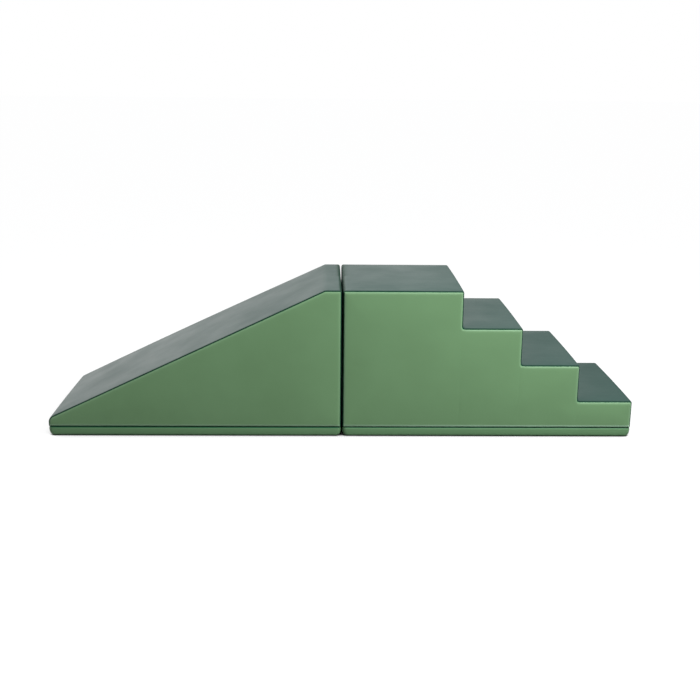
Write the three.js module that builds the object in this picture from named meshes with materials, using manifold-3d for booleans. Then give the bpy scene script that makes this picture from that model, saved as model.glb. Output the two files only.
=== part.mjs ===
// Soft play foam climber: a slide wedge and a flight of steps, two foam blocks that stand end to end.
// Each block is a foam core in a sewn cover of coated fabric. The cover has two side panels, one run
// that lies over the top from end to end, an inner end panel, and a tray of a base panel and a band,
// which a zip round the block joins to the upper cover. Hook and loop strips hold the blocks together.
// Millimetres, +Z up. The front is at -Y, the steps are at +X, and the origin is on the floor,
// half way along the climber.
import * as THREE from "three";
import { mergeVertices } from "three/addons/utils/BufferGeometryUtils.js";
import Module from "manifold-3d";

const wasm = await Module();
wasm.setup();

// Driving sizes of the two blocks
const blockDepth = 600;
const stepRise = 150;
const platformLength = 476;
const treadLengths = [240, 236, 222];
const slideLength = 1174;
const noseHeight = 74;
const landingLength = 67;

// The cover: its fabric, the seams that draw it in, and the crown that the foam gives each face
const coverThickness = 1.2;
const clearance = 0.3;
const seamDrop = 4;
const seamClearance = 0.2;
const seamRollWidth = 12;
const faceCrown = 3;
const endCrown = 0.4;
const crownReach = 160;
const foldRadius = 5;
const nookRadius = 10;
const bendReach = 10;

// The tray under the zip
const baseThickness = 1.2;
const baseEdgeRadius = 14;
const plumbCornerRadius = 18;
const bandBulge = 1.7;
const bandRollWidth = 8;

// The zip
const zipHeight = 38;
const zipDepth = 9;
const tapeWidth = 11;
const tapeThickness = 0.6;
const chainWidth = 6;
const chainThickness = 2.4;
const chainSlit = 0.3;
const hemRollWidth = 10;
const lipGap = 1;
const zipEndInset = 60;
const zipBreak = 12;
const stopLength = 2.6;
const stopThickness = 3;

// The zip's slider and its puller
const sliderLength = 13;
const sliderWidth = 9.2;
const sliderTailWidth = 8;
const sliderPlate = 1.2;
const sliderCornerRadius = 1.6;
const archLength = 9;
const archWidth = 2.4;
const archBar = 1.1;
const archWindowHeight = 2.2;
const pullerThickness = 1.3;
const pullerArmWidth = 1.2;
const pullerTabLength = 20;
const pullerTabWidth = 7;
const pullerCornerRadius = 2.4;
const pullerHoleRadius = 1.5;

// The hook and loop strips on the inner ends
const stripWidth = 50;
const stripHeight = 200;
const stripSpacing = 200;
const stripMidHeight = 300;
const stripCornerRadius = 6;
const hookThickness = 1.6;
const loopThickness = 1.8;

// Where the lines of a sheet lie, as shares of a roll's width or of the stretch between two rolls
const rollShares = [0, 0.15, 0.45, 1];
const platformShares = [0.3, 0.7];
const rampShares = [0.08, 0.25, 0.5, 0.75, 0.92];
const widthShares = [0.22, 0.5, 0.78];
const endShares = [0.25, 0.5, 0.78];
const halfShare = 0.5;
const coreCrownShare = 0.3;
const arcSteps = 3;
const roundSteps = 6;

// Sizes that follow from them
const stepCount = treadLengths.length + 1;
const blockHeight = stepRise * stepCount;
const stepsLength = platformLength + treadLengths.reduce((sum, length) => sum + length, 0);
const blockGap = 2 * endCrown + hookThickness + loopThickness + 3 * clearance;
const seamInset = seamDrop + seamClearance;
const skin = coverThickness + clearance;
const coreEdge = seamInset + skin;
const openHemGap = sliderWidth / 2 + 2 * clearance;
const bandHemDrop = zipDepth - clearance;
const lipBack = zipDepth - chainThickness - 2 * clearance;
const halfDepth = blockDepth / 2;

// Where the cover meets the zip. At the front and the ends two lips nearly close over the chain, and
// along the back, where the slider runs, the hems stand apart.
const lipHem = { height: zipHeight + lipGap, drop: lipBack - coverThickness };
const openHem = { height: zipHeight + openHemGap, drop: zipDepth - coverThickness - clearance };

// Colours as they look in even daylight
const finishes = {
  sideCover: { color: 0x6f9a6a, roughness: 0.5, metalness: 0 },
  topCover: { color: 0x3f574e, roughness: 0.45, metalness: 0 },
  foam: { color: 0xe9e4cf, roughness: 0.95, metalness: 0 },
  baseFabric: { color: 0x2d332f, roughness: 0.85, metalness: 0 },
  zipTape: { color: 0x2c4a35, roughness: 0.9, metalness: 0 },
  zipCoil: { color: 0x27422f, roughness: 0.5, metalness: 0 },
  zipMetal: { color: 0x9a9c9e, roughness: 0.3, metalness: 0.9 },
  hookTape: { color: 0x1f2421, roughness: 0.9, metalness: 0 },
  loopTape: { color: 0x262c28, roughness: 0.95, metalness: 0 },
};

function finish(name) {
  return new THREE.MeshStandardMaterial(finishes[name]);
}

function mix(from, to, share) {
  return from + (to - from) * share;
}

// Turns a closed geometry's faces outwards, whichever way its points were laid.
function facingOut(geometry) {
  const place = geometry.getAttribute("position");
  const index = geometry.index.array;
  const [a, b, c] = [new THREE.Vector3(), new THREE.Vector3(), new THREE.Vector3()];
  let volume = 0;
  for (let i = 0; i < index.length; i += 3) {
    a.fromBufferAttribute(place, index[i]);
    b.fromBufferAttribute(place, index[i + 1]);
    c.fromBufferAttribute(place, index[i + 2]);
    volume += a.dot(b.cross(c));
  }
  if (volume < 0)
    for (let i = 0; i < index.length; i += 3)
      [index[i + 1], index[i + 2]] = [index[i + 2], index[i + 1]];
  geometry.computeVertexNormals();
  return geometry;
}

// A closed sheet between two like grids of points, its outer and its inner face. Cells that hasCell
// leaves out are open, and in a ring the last column joins the first.
function sheetBetween({ columns, rows, outer, inner, hasCell = () => true, isRing = false }) {
  const places = [];
  for (const pointAt of [outer, inner])
    for (let j = 0; j < rows; j++)
      for (let i = 0; i < columns; i++) places.push(...pointAt(i, j));
  const vertex = (i, j, face) => (face * rows + j) * columns + (i % columns);
  const lastColumn = isRing ? columns : columns - 1;
  const isThere = (i, j) => {
    const column = isRing ? (i + columns) % columns : i;
    if (column < 0 || column >= lastColumn) return false;
    return j >= 0 && j < rows - 1 && hasCell(column, j);
  };
  const faces = [];
  const addQuad = (a, b, c, d) => faces.push(a, b, c, a, c, d);
  for (let j = 0; j < rows - 1; j++)
    for (let i = 0; i < lastColumn; i++) {
      if (!isThere(i, j)) continue;
      const corners = [[i, j], [i + 1, j], [i + 1, j + 1], [i, j + 1]];
      const neighbours = [[i, j - 1], [i + 1, j], [i, j + 1], [i - 1, j]];
      const front = corners.map(([p, q]) => vertex(p, q, 0));
      const back = corners.map(([p, q]) => vertex(p, q, 1));
      addQuad(...front);
      addQuad(back[0], back[3], back[2], back[1]);
      neighbours.forEach(([p, q], edge) => {
        const next = (edge + 1) % corners.length;
        if (!isThere(p, q)) addQuad(front[next], front[edge], back[edge], back[next]);
      });
    }
  const geometry = new THREE.BufferGeometry();
  geometry.setAttribute("position", new THREE.Float32BufferAttribute(places, 3));
  geometry.setIndex(faces);
  return facingOut(geometry);
}

// How far a face lies below its plane at a distance from the edge that draws it in: a quarter round.
function rollAt(distance, width, drop) {
  const share = 1 - Math.min(Math.max(distance / width, 0), 1);
  return drop * (1 - Math.sqrt(1 - share * share));
}

function crownAt(distance, height) {
  const share = Math.min(Math.max(distance / crownReach, 0), 1);
  return height * share * (2 - share);
}

// How far a sewn face stands above its plane, from its distance to the seams, hem and folds round it.
function faceRise({ seam, height, hem, fold = Infinity, crown = faceCrown }) {
  const up = height - hem.height;
  const roll = Math.max(rollAt(seam, seamRollWidth, seamDrop), rollAt(up, hemRollWidth, hem.drop));
  return crownAt(Math.min(seam, up, fold), crown) - roll;
}

// Where a hem draws a face in deeper than its seams do, the seam moves in with it, to keep the mitre.
function mitreShift(seam, rise) {
  const fade = Math.max(1 - (seam / seamRollWidth) ** 2, 0);
  return Math.max(seamClearance - rise - seamInset, 0) * fade;
}

// Lines across a stretch that is drawn in at both ends, with more of them in the two rolls.
function rolledLines(from, to, startWidth, endWidth, shares) {
  const start = rollShares.map((share) => from + startWidth * share);
  const end = rollShares.map((share) => to - endWidth * share).reverse();
  const middle = shares.map((share) => mix(from + startWidth, to - endWidth, share));
  return [...start, ...middle, ...end];
}

// Moves a point in a square corner on to a round one of the same radius, in shares of the radius.
function roundShares(across, up) {
  return [across * Math.sqrt(1 - (up * up) / 2), up * Math.sqrt(1 - (across * across) / 2)];
}

function roundFold([along, height], [foldAlong, foldHeight], radius) {
  const across = (along - foldAlong + radius) / radius;
  const up = (height - foldHeight + radius) / radius;
  if (across <= 0 || up <= 0) return [along, height];
  const [newAcross, newUp] = roundShares(Math.min(across, 1), Math.min(up, 1));
  return [
    foldAlong - radius + radius * newAcross,
    foldHeight - radius + radius * newUp,
  ];
}

function roundNook([along, height], [nookAlong, nookHeight], radius) {
  const beyond = Math.max(along - nookAlong, 0) / radius;
  const above = Math.max(height - nookHeight, 0) / radius;
  const within = Math.max(nookAlong - along, nookHeight - height, 0) / radius;
  if (beyond >= 1 || above >= 1 || within >= 1) return [along, height];
  const [newAcross, newUp] = roundShares(1 - beyond, 1 - above);
  return [
    along + radius * (1 - beyond - newAcross) * (1 - within),
    height + radius * (1 - above - newUp) * (1 - within),
  ];
}

// The steps' side, seen square on: a grid that follows the treads and risers. "Along" is measured from
// the block's inner end, on both blocks.
const riserPlanes = treadLengths.reduce(
  (planes, length) => [...planes, planes.at(-1) + length],
  [platformLength],
);
const levelPlanes = riserPlanes.map((_, k) => blockHeight - stepRise * k);
const riserSeams = riserPlanes.map((plane) => plane - seamInset);
const levelSeams = levelPlanes.map((plane) => plane - seamInset);

function stepsGrid(hemHeight) {
  const alongs = rolledLines(seamInset, riserSeams[0], seamRollWidth, seamRollWidth, platformShares);
  const heights = rolledLines(hemHeight, levelSeams.at(-1), hemRollWidth, seamRollWidth, [halfShare]);
  const addFlat = (lines, from, to) => {
    const start = from + nookRadius;
    const end = to - seamRollWidth;
    const roll = rollShares.map((share) => to - seamRollWidth * share).reverse();
    lines.push(start, mix(start, end, halfShare), ...roll);
  };
  riserSeams.slice(1).forEach((seam, k) => addFlat(alongs, riserSeams[k], seam));
  levelSeams.slice(1).reverse().forEach((seam) => addFlat(heights, seam, seam + stepRise));
  const levelOver = (along) => levelSeams[riserSeams.findIndex((seam) => along < seam)];
  const middle = (lines, i) => mix(lines[i], lines[i + 1], halfShare);
  return {
    columns: alongs.length,
    rows: heights.length,
    hasCell: (i, j) => middle(heights, j) < levelOver(middle(alongs, i)),
    place: (i, j, sunk = 0, turn = [0, 0]) =>
      riserSeams.reduce((point, seam, k) => {
        const riser = seam - sunk;
        const eased = roundFold(point, [riser, levelSeams[k] - sunk], foldRadius - sunk);
        if (k + 1 === stepCount) return eased;
        return roundNook(eased, [riser, levelSeams[k + 1] - sunk], nookRadius + sunk);
      }, [alongs[i] + turn[0] * sunk, heights[j] + turn[1] * sunk]),
  };
}

// The slide's side: a ramp that starts at the nose and bends softly into the landing.
const rampSlope = (blockHeight - noseHeight) / (slideLength - landingLength);
const rampStretch = Math.hypot(1, rampSlope);

function slideTopAt(along, depth) {
  const ramp = noseHeight + rampSlope * (slideLength - along) - depth * rampStretch;
  const landing = blockHeight - depth;
  const bend = slideLength - (landing + depth * rampStretch - noseHeight) / rampSlope;
  const past = along - bend;
  if (past >= bendReach) return ramp;
  if (past <= -bendReach) return landing;
  return landing - (rampSlope * (past + bendReach) ** 2) / (4 * bendReach);
}

function slideGrid(hemHeight) {
  const nose = slideLength - seamInset;
  const landingLines = rollShares.map((share) => seamInset + seamRollWidth * share);
  const bendLines = [-1, 0, 1].map((way) => landingLength + bendReach * way);
  const rampStart = bendLines.at(-1);
  const rampEnd = nose - seamRollWidth;
  const rampLines = rampShares.map((share) => mix(rampStart, rampEnd, share));
  const noseLines = rollShares.map((share) => nose - seamRollWidth * share).reverse();
  const alongs = [...landingLines, ...bendLines, ...rampLines, ...noseLines];
  const heightsAt = (along) =>
    rolledLines(hemHeight, slideTopAt(along, seamInset), hemRollWidth, seamRollWidth, platformShares);
  const rows = heightsAt(nose).length;
  return {
    columns: alongs.length,
    rows,
    hasCell: () => true,
    place(i, j, sunk = 0, turn = [0, 0]) {
      const start = alongs[i] + turn[0] * sunk;
      const below = heightsAt(alongs[i])[j] - slideTopAt(alongs[i], seamInset) + turn[1] * sunk;
      const [along, down] = roundFold([start, below], [nose - sunk, -sunk], foldRadius - sunk);
      return [along, slideTopAt(along, seamInset) + down];
    },
  };
}

// The points of a grid's edge from the outer end's hem, over the top, to the inner end's top corner.
function edgeWalk(grid) {
  const walk = [[grid.columns - 1, 0]];
  while (walk.at(-1)[0] > 0 || walk.at(-1)[1] < grid.rows - 1) {
    const [i, j] = walk.at(-1);
    const climbs = j < grid.rows - 1 && i > 0 && grid.hasCell(i - 1, j);
    walk.push(climbs ? [i, j + 1] : [i - 1, j]);
  }
  return walk.map(([i, j]) => grid.place(i, j));
}

// The two blocks. side says which way a block runs from the joint between them.
const steps = {
  name: "steps",
  side: 1,
  length: stepsLength,
  gridAt: stepsGrid,
  folds: riserSeams.flatMap((seam, k) => [
    [seam, levelSeams[k]],
    ...(k + 1 < stepCount ? [[seam, levelSeams[k + 1]]] : []),
  ]),
};
const slide = {
  name: "slide",
  side: -1,
  length: slideLength,
  gridAt: slideGrid,
  folds: [[slideLength - seamInset, slideTopAt(slideLength - seamInset, seamInset)]],
};
for (const block of [steps, slide]) {
  block.walk = edgeWalk(block.gridAt(lipHem.height));
  block.outline = [...block.walk, [seamInset, lipHem.height]];
}

function distanceToSegment([x, y], [fromX, fromY], [toX, toY]) {
  const [runX, runY] = [toX - fromX, toY - fromY];
  const share = ((x - fromX) * runX + (y - fromY) * runY) / (runX * runX + runY * runY);
  const nearest = Math.min(Math.max(share, 0), 1);
  return Math.hypot(x - fromX - runX * nearest, y - fromY - runY * nearest);
}

function distanceToLine(point, line) {
  return Math.min(...line.slice(1).map((end, k) => distanceToSegment(point, line[k], end)));
}

function distanceToPoints([x, y], points) {
  return Math.min(...points.map(([px, py]) => Math.hypot(x - px, y - py)));
}

function sideRise(block, point, hem) {
  return faceRise({ seam: distanceToLine(point, block.outline), height: point[1], hem });
}

// A side panel: a flat cut piece that the foam crowns. At its edges it turns in to meet its neighbours
// in a mitre, so that two panels share a seam with a hair between them.
function sidePanel(block, face, hem) {
  const grid = block.gridAt(hem.height);
  const isIn = (i, j) =>
    i >= 0 && j >= 0 && i < grid.columns - 1 && j < grid.rows - 1 && grid.hasCell(i, j);
  const turnIn = (i, j) => {
    const [low, lowNext] = [isIn(i - 1, j - 1), isIn(i, j - 1)];
    const [high, highNext] = [isIn(i - 1, j), isIn(i, j)];
    const back = (low && !lowNext) || (high && !highNext);
    const forward = (lowNext && !low) || (highNext && !high);
    const down = (low && !high) || (lowNext && !highNext);
    const up = (high && !low) || (highNext && !lowNext);
    return [forward - back, up - down];
  };
  const pointAt = (sunk) => (i, j) => {
    const point = grid.place(i, j);
    const rise = sideRise(block, point, hem);
    const toInner = mitreShift(point[0] - seamInset, rise);
    const toOuter = mitreShift(block.length - seamInset - point[0], rise);
    const [along, height] = grid.place(i, j, sunk, turnIn(i, j));
    return [block.side * (along + toInner - toOuter), face * (halfDepth + rise - sunk), height];
  };
  return sheetBetween({
    columns: grid.columns,
    rows: grid.rows,
    outer: pointAt(0),
    inner: pointAt(coverThickness),
    hasCell: grid.hasCell,
  });
}

// Lines across the climber's depth, for the panels that span it
const acrossLines = rolledLines(
  -halfDepth + seamInset,
  halfDepth - seamInset,
  seamRollWidth,
  seamRollWidth,
  widthShares,
);

function lateralSeam(across) {
  return halfDepth - seamInset - Math.abs(across);
}

function acrossPlace(across, rise) {
  return across - Math.sign(across) * mitreShift(lateralSeam(across), rise);
}

// The outward direction at each point of a walk, stretched at a bend so that offset faces keep apart.
function walkNormals(walk) {
  const normals = walk.slice(1).map(([along, height], k) => {
    const [runAlong, runUp] = [along - walk[k][0], height - walk[k][1]];
    const run = Math.hypot(runAlong, runUp);
    return [runUp / run, -runAlong / run];
  });
  return walk.map((_, k) => {
    const [before, after] = [normals[Math.max(k - 1, 0)], normals[Math.min(k, normals.length - 1)]];
    const sum = [before[0] + after[0], before[1] + after[1]];
    const stretch = 2 / (sum[0] ** 2 + sum[1] ** 2);
    return sum.map((part) => part * stretch);
  });
}

// How far a panel's edge line is drawn in from its end by the fabric's own thickness.
function edgeTurn(index, count) {
  if (index === 0) return coverThickness;
  return index === count - 1 ? -coverThickness : 0;
}

// The run over the top: one long strip that folds over the nose or the treads and risers.
function topRun(block) {
  const walk = block.walk;
  const normals = walkNormals(walk);
  const riseAt = (across, point) => {
    const seam = Math.min(lateralSeam(across), distanceToPoints(point, [walk.at(-1)]));
    const fold = distanceToPoints(point, block.folds);
    return faceRise({ seam, height: point[1], hem: lipHem, fold });
  };
  const pointAt = (i, j, sunk) => {
    const rise = riseAt(acrossLines[i], walk[j]);
    const out = seamInset + rise - sunk;
    const along = walk[j][0] + normals[j][0] * out;
    return [along, acrossPlace(acrossLines[i], rise), walk[j][1] + normals[j][1] * out];
  };
  const outer = (i, j) => {
    const [along, across, height] = pointAt(i, j, 0);
    return [block.side * along, across, height];
  };
  const inner = (i, j) => {
    const [along, across, height] = pointAt(i, j, coverThickness);
    const end = j === walk.length - 1 ? coverThickness : 0;
    const hem = j === 0 ? coverThickness : 0;
    const turned = across + edgeTurn(i, acrossLines.length);
    return [block.side * (along + end), turned, height + hem];
  };
  return sheetBetween({ columns: acrossLines.length, rows: walk.length, outer, inner });
}

// The inner end panel, which faces the other block.
const endTop = blockHeight - seamInset;
const endHeights = rolledLines(lipHem.height, endTop, hemRollWidth, seamRollWidth, endShares);

function endRise(across, height) {
  const seam = Math.min(lateralSeam(across), endTop - height);
  return faceRise({ seam, height, hem: lipHem, crown: endCrown });
}

function endPanel(block) {
  const outer = (i, j) => {
    const rise = endRise(acrossLines[i], endHeights[j]);
    return [-block.side * rise, acrossPlace(acrossLines[i], rise), endHeights[j]];
  };
  const inner = (i, j) => {
    const [x, y, z] = outer(i, j);
    const up = edgeTurn(j, endHeights.length);
    return [x + block.side * coverThickness, y + edgeTurn(i, acrossLines.length), z + up];
  };
  return sheetBetween({ columns: acrossLines.length, rows: endHeights.length, outer, inner });
}

// The foam core. Each piece is a block whose faces follow the inside of the cover. Low down it is
// drawn in to a waist, where the zip's tape lies, and to a rounded foot.
const facetShare = Math.cos(Math.PI / (4 * arcSteps));
const footRadius = baseEdgeRadius * facetShare - skin;
const footInset = baseEdgeRadius - footRadius * Math.SQRT1_2;
const waist = [
  { height: baseThickness + clearance, depth: baseEdgeRadius + skin },
  { height: footInset, depth: footInset },
  { height: baseEdgeRadius, depth: baseEdgeRadius - footRadius },
  { height: zipHeight - tapeWidth - clearance, depth: zipDepth + tapeThickness + clearance },
  { height: zipHeight + tapeWidth + clearance, depth: zipDepth + tapeThickness + clearance },
];
const waistTop = openHem.height + hemRollWidth;

function waistDepth(height) {
  const level = waist.find((entry) => Math.abs(entry.height - height) < clearance);
  return level ? level.depth : 0;
}

function plumbCornerDepth(depth) {
  return plumbCornerRadius - (plumbCornerRadius - depth) * facetShare * Math.SQRT1_2;
}

const coreLines = [
  -halfDepth,
  -halfDepth + plumbCornerRadius,
  ...widthShares.map((share) => mix(-halfDepth, halfDepth, share)),
  halfDepth - plumbCornerRadius,
  halfDepth,
];

// bottom is null on the piece that stands in the tray. openFrom is where its top meets the cover.
function foamPiece(block, { alongs, bottom, topAt, openFrom }) {
  const heightsAt = (along) => {
    const top = topAt(along, 0);
    const start = bottom === null ? waistTop : bottom;
    const low = bottom === null ? waist.map((entry) => entry.height) : [];
    return [...low, start, mix(start, top - plumbCornerRadius, halfShare), top - plumbCornerRadius, top];
  };
  const counts = [alongs.length, coreLines.length, heightsAt(alongs[0]).length].map((count) => count - 1);
  const place = (i, j, k) => {
    const height = heightsAt(alongs[i])[k];
    const across = coreLines[j];
    const onSide = j === 0 || j === counts[1];
    const onEnd = i === 0 || i === counts[0];
    const onTop = k === counts[2] && alongs[i] >= openFrom;
    const isEdge = onSide + onEnd + onTop > 1;
    const drawn = waistDepth(height);
    const point = [alongs[i], height];
    const bounds = [...block.folds, block.walk.at(-1)];
    const near = Math.min(lateralSeam(across), distanceToPoints(point, bounds), height - openHem.height);
    const crowned = skin - crownAt(near, faceCrown) * coreCrownShare;
    const edge = Math.max(coreEdge, drawn ? plumbCornerDepth(drawn) : 0);
    const depthOf = (faceDepth) => (isEdge ? edge : Math.max(faceDepth, drawn));
    const sideDepth = depthOf(skin - Math.max(sideRise(block, point, openHem), 0) * coreCrownShare);
    const endDepth = depthOf(i > 0 ? crowned : skin - Math.max(endRise(across, height), 0) * coreCrownShare);
    const topDepth = onTop ? depthOf(crowned) : skin;
    const along = onEnd ? alongs[i] + (i === 0 ? endDepth : -endDepth) : alongs[i];
    const depth = onSide ? across - Math.sign(across) * sideDepth : across;
    return [along, depth, k === counts[2] ? topAt(alongs[i], topDepth) : height];
  };
  const box = new THREE.BoxGeometry(1, 1, 1, ...counts);
  const places = box.getAttribute("position");
  for (let n = 0; n < places.count; n++) {
    const unit = [places.getX(n), places.getY(n), places.getZ(n)];
    const [i, j, k] = unit.map((value, axis) => Math.round((value + halfShare) * counts[axis]));
    const [along, across, height] = place(i, j, k);
    places.setXYZ(n, block.side * along, across, height);
  }
  box.deleteAttribute("normal");
  box.deleteAttribute("uv");
  return facingOut(mergeVertices(box, clearance / 100));
}

// One of the steps' glued slabs, counted from the floor.
function foamSlab(number) {
  const k = stepCount - number;
  const end = riserPlanes[k];
  const above = k > 0 ? riserPlanes[k - 1] : 0;
  const level = levelPlanes[k];
  const shown = [mix(above, end, halfShare), end - plumbCornerRadius, end];
  const covered = k > 0 ? [mix(0, above, halfShare), above - plumbCornerRadius, above] : [];
  return foamPiece(steps, {
    alongs: [0, plumbCornerRadius, ...covered, ...shown],
    bottom: number === 1 ? null : level - stepRise - skin + clearance,
    topAt: (along, depth) => level - depth,
    openFrom: above,
  });
}

function foamWedge() {
  const bend = [landingLength - bendReach, landingLength + bendReach];
  const rampEnd = slideLength - plumbCornerRadius;
  const ramp = endShares.map((share) => mix(bend[1], rampEnd, share));
  return foamPiece(slide, {
    alongs: [0, plumbCornerRadius, ...bend, ...ramp, rampEnd, slideLength],
    bottom: null,
    topAt: slideTopAt,
    openFrom: 0,
  });
}

// The way round a block at the foot: points on its face planes with their outward directions. Where it
// is open, it starts and ends at the back, a break's width apart.
function wayRound(block, isOpen) {
  const [near, far] = [plumbCornerRadius, block.length - plumbCornerRadius];
  const reach = halfDepth - plumbCornerRadius;
  const corners = [[near, reach], [near, -reach], [far, -reach], [far, reach]];
  const turned = corners.flatMap(([along, across], quarter) =>
    Array.from({ length: arcSteps + 1 }, (_, n) => {
      const angle = ((quarter + 1 + n / arcSteps) * Math.PI) / 2;
      const out = [Math.cos(angle), Math.sin(angle)];
      return {
        along: along + plumbCornerRadius * out[0],
        across: across + plumbCornerRadius * out[1],
        out,
      };
    }),
  );
  if (!isOpen) return turned;
  const start = { along: zipStart(block), across: halfDepth, out: [0, 1] };
  return [start, ...turned, { ...start, along: start.along + zipBreak }];
}

function zipStart(block) {
  return block.length - zipEndInset;
}

// A band round the foot. profileAt gives a station's outer and inner points as [depth, height].
function ring(block, profileAt, isOpen = false) {
  const way = wayRound(block, isOpen);
  const profiles = way.map(profileAt);
  const pointAt = (face) => (i, j) => {
    const { along, across, out } = way[i];
    const [depth, height] = profiles[i][face][j];
    return [block.side * (along - out[0] * depth), across - out[1] * depth, height];
  };
  return sheetBetween({
    columns: way.length,
    rows: profiles[0].outer.length,
    outer: pointAt("outer"),
    inner: pointAt("inner"),
    isRing: !isOpen,
  });
}

// The tray's wall: it turns in to the zip at the top and rolls under the block at the foot.
function baseBand(block) {
  return ring(block, ({ out }) => {
    const toBack = 2 * Math.max(out[1], 0);
    const open = Math.max(toBack - 1, 0);
    const top = zipHeight - mix(lipGap, openHemGap, Math.min(toBack, 1));
    const drop = mix(lipHem.drop, bandHemDrop, open);
    const back = mix(lipBack, bandHemDrop, open);
    const turn = rollShares.map((share) => {
      const down = bandRollWidth * share;
      return [rollAt(down, bandRollWidth, drop), top - down];
    });
    const middle = [-bandBulge, mix(top - bandRollWidth, baseEdgeRadius, halfShare)];
    const foot = Array.from({ length: arcSteps + 1 }, (_, n) => {
      const angle = ((n / arcSteps) * Math.PI) / 2;
      const [across, down] = [Math.cos(angle), Math.sin(angle)].map((part) => part * baseEdgeRadius);
      return [baseEdgeRadius - across, baseEdgeRadius + clearance - down];
    });
    const outer = [...turn, middle, ...foot];
    const normals = walkNormals(outer);
    const inner = outer.map(([depth, height], k) => [
      Math.min(depth - normals[k][0] * coverThickness, Math.max(depth, back)),
      height - normals[k][1] * coverThickness,
    ]);
    return { outer, inner };
  });
}

function roundedRectangle(width, height, radius) {
  const [x, y] = [width / 2, height / 2];
  const shape = new THREE.Shape();
  shape.absarc(x - radius, y - radius, radius, 0, Math.PI / 2);
  shape.absarc(radius - x, y - radius, radius, Math.PI / 2, Math.PI);
  shape.absarc(radius - x, radius - y, radius, Math.PI, 1.5 * Math.PI);
  shape.absarc(x - radius, radius - y, radius, 1.5 * Math.PI, 2 * Math.PI);
  return shape;
}

function extrude(shape, depth, curveSegments = roundSteps) {
  return new THREE.ExtrudeGeometry(shape, { depth, bevelEnabled: false, curveSegments });
}

function basePanel(block) {
  const inset = baseEdgeRadius + clearance;
  const [width, height] = [block.length - 2 * inset, blockDepth - 2 * inset];
  const panel = extrude(roundedRectangle(width, height, plumbCornerRadius - inset), baseThickness);
  return panel.translate((block.side * block.length) / 2, 0, 0);
}

// One side of the zip's tape, and one side of its coil, above the zip line or below it
function zipTape(block, way) {
  const heights = [chainSlit / 2, tapeWidth].map((up) => zipHeight + way * up);
  return ring(block, () => ({
    outer: heights.map((height) => [zipDepth, height]),
    inner: heights.map((height) => [zipDepth + tapeThickness, height]),
  }));
}

const coilProfileShares = [
  { up: 0, out: 0.55 },
  { up: 0.25, out: 1 },
  { up: 0.75, out: 1 },
  { up: 1, out: 0.55 },
];

function zipCoil(block, way) {
  const seat = zipDepth - clearance;
  const heightAt = ({ up }) => zipHeight + way * mix(chainSlit / 2, chainWidth / 2, up);
  const profile = {
    outer: coilProfileShares.map((share) => [seat - chainThickness * share.out, heightAt(share)]),
    inner: coilProfileShares.map((share) => [seat, heightAt(share)]),
  };
  return ring(block, () => profile, true);
}

// The zip's small pieces lie in a frame of their own on the back: X along the chain towards the inner
// end, Y across it, and Z out of the tape's face.
function zipFrame(block, along) {
  const frame = new THREE.Group();
  const basis = new THREE.Matrix4().makeBasis(
    new THREE.Vector3(-block.side, 0, 0),
    new THREE.Vector3(0, 0, block.side),
    new THREE.Vector3(0, 1, 0),
  );
  frame.setRotationFromMatrix(basis);
  frame.position.set(block.side * along, halfDepth - zipDepth, zipHeight);
  return frame;
}

const sliderTop = clearance + chainThickness + clearance + sliderPlate;
const archTop = sliderTop + archWindowHeight + archBar;
const pinHeight = sliderTop + archWindowHeight / 2;
const pullerEye = Math.hypot(archLength / 2, archTop - pinHeight) + clearance;

function solidOf(geometry) {
  geometry.deleteAttribute("normal");
  geometry.deleteAttribute("uv");
  const merged = mergeVertices(geometry, clearance / 1000);
  return new wasm.Manifold(
    new wasm.Mesh({
      numProp: 3,
      vertProperties: merged.getAttribute("position").array,
      triVerts: new Uint32Array(merged.index.array),
    }),
  );
}

function geometryOf(solid) {
  const mesh = solid.getMesh();
  const geometry = new THREE.BufferGeometry();
  geometry.setAttribute("position", new THREE.BufferAttribute(mesh.vertProperties, 3));
  geometry.setIndex(new THREE.BufferAttribute(mesh.triVerts, 1));
  geometry.computeVertexNormals();
  return geometry;
}

// The slider: a tapered plate whose flanges run down both sides of the chain, with an arch over it.
function zipSlider() {
  const [half, shoulder, tail] = [sliderLength / 2, sliderWidth / 2, sliderTailWidth / 2];
  const plan = new THREE.Shape();
  plan.moveTo(-half, -shoulder + sliderCornerRadius);
  plan.quadraticCurveTo(-half, -shoulder, -half + sliderCornerRadius, -shoulder);
  plan.lineTo(0, -shoulder);
  plan.quadraticCurveTo(half, -tail, half, -tail + sliderCornerRadius);
  plan.lineTo(half, tail - sliderCornerRadius);
  plan.quadraticCurveTo(half, tail, 0, shoulder);
  plan.lineTo(-half + sliderCornerRadius, shoulder);
  plan.quadraticCurveTo(-half, shoulder, -half, shoulder - sliderCornerRadius);
  const body = solidOf(extrude(plan, sliderTop - clearance).translate(0, 0, clearance));
  const channelTop = sliderTop - sliderPlate;
  const channel = new THREE.BoxGeometry(2 * sliderLength, chainWidth + 2 * clearance, 2 * channelTop);
  const [archHalf, foot] = [archLength / 2, sliderTop - sliderPlate / 2];
  const arch = new THREE.Shape();
  arch.moveTo(-archHalf, foot);
  arch.lineTo(-archHalf, archTop - archBar);
  arch.quadraticCurveTo(-archHalf, archTop, -archHalf + archBar, archTop);
  arch.lineTo(archHalf - archBar, archTop);
  arch.quadraticCurveTo(archHalf, archTop, archHalf, archTop - archBar);
  arch.lineTo(archHalf, foot);
  arch.lineTo(archHalf - archBar, foot);
  arch.lineTo(archHalf - archBar, archTop - archBar);
  arch.lineTo(-archHalf + archBar, archTop - archBar);
  arch.lineTo(-archHalf + archBar, foot);
  const bridge = extrude(arch, archWidth).rotateX(Math.PI / 2).translate(0, archWidth / 2, 0);
  return geometryOf(body.subtract(solidOf(channel)).add(solidOf(bridge)));
}

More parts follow.
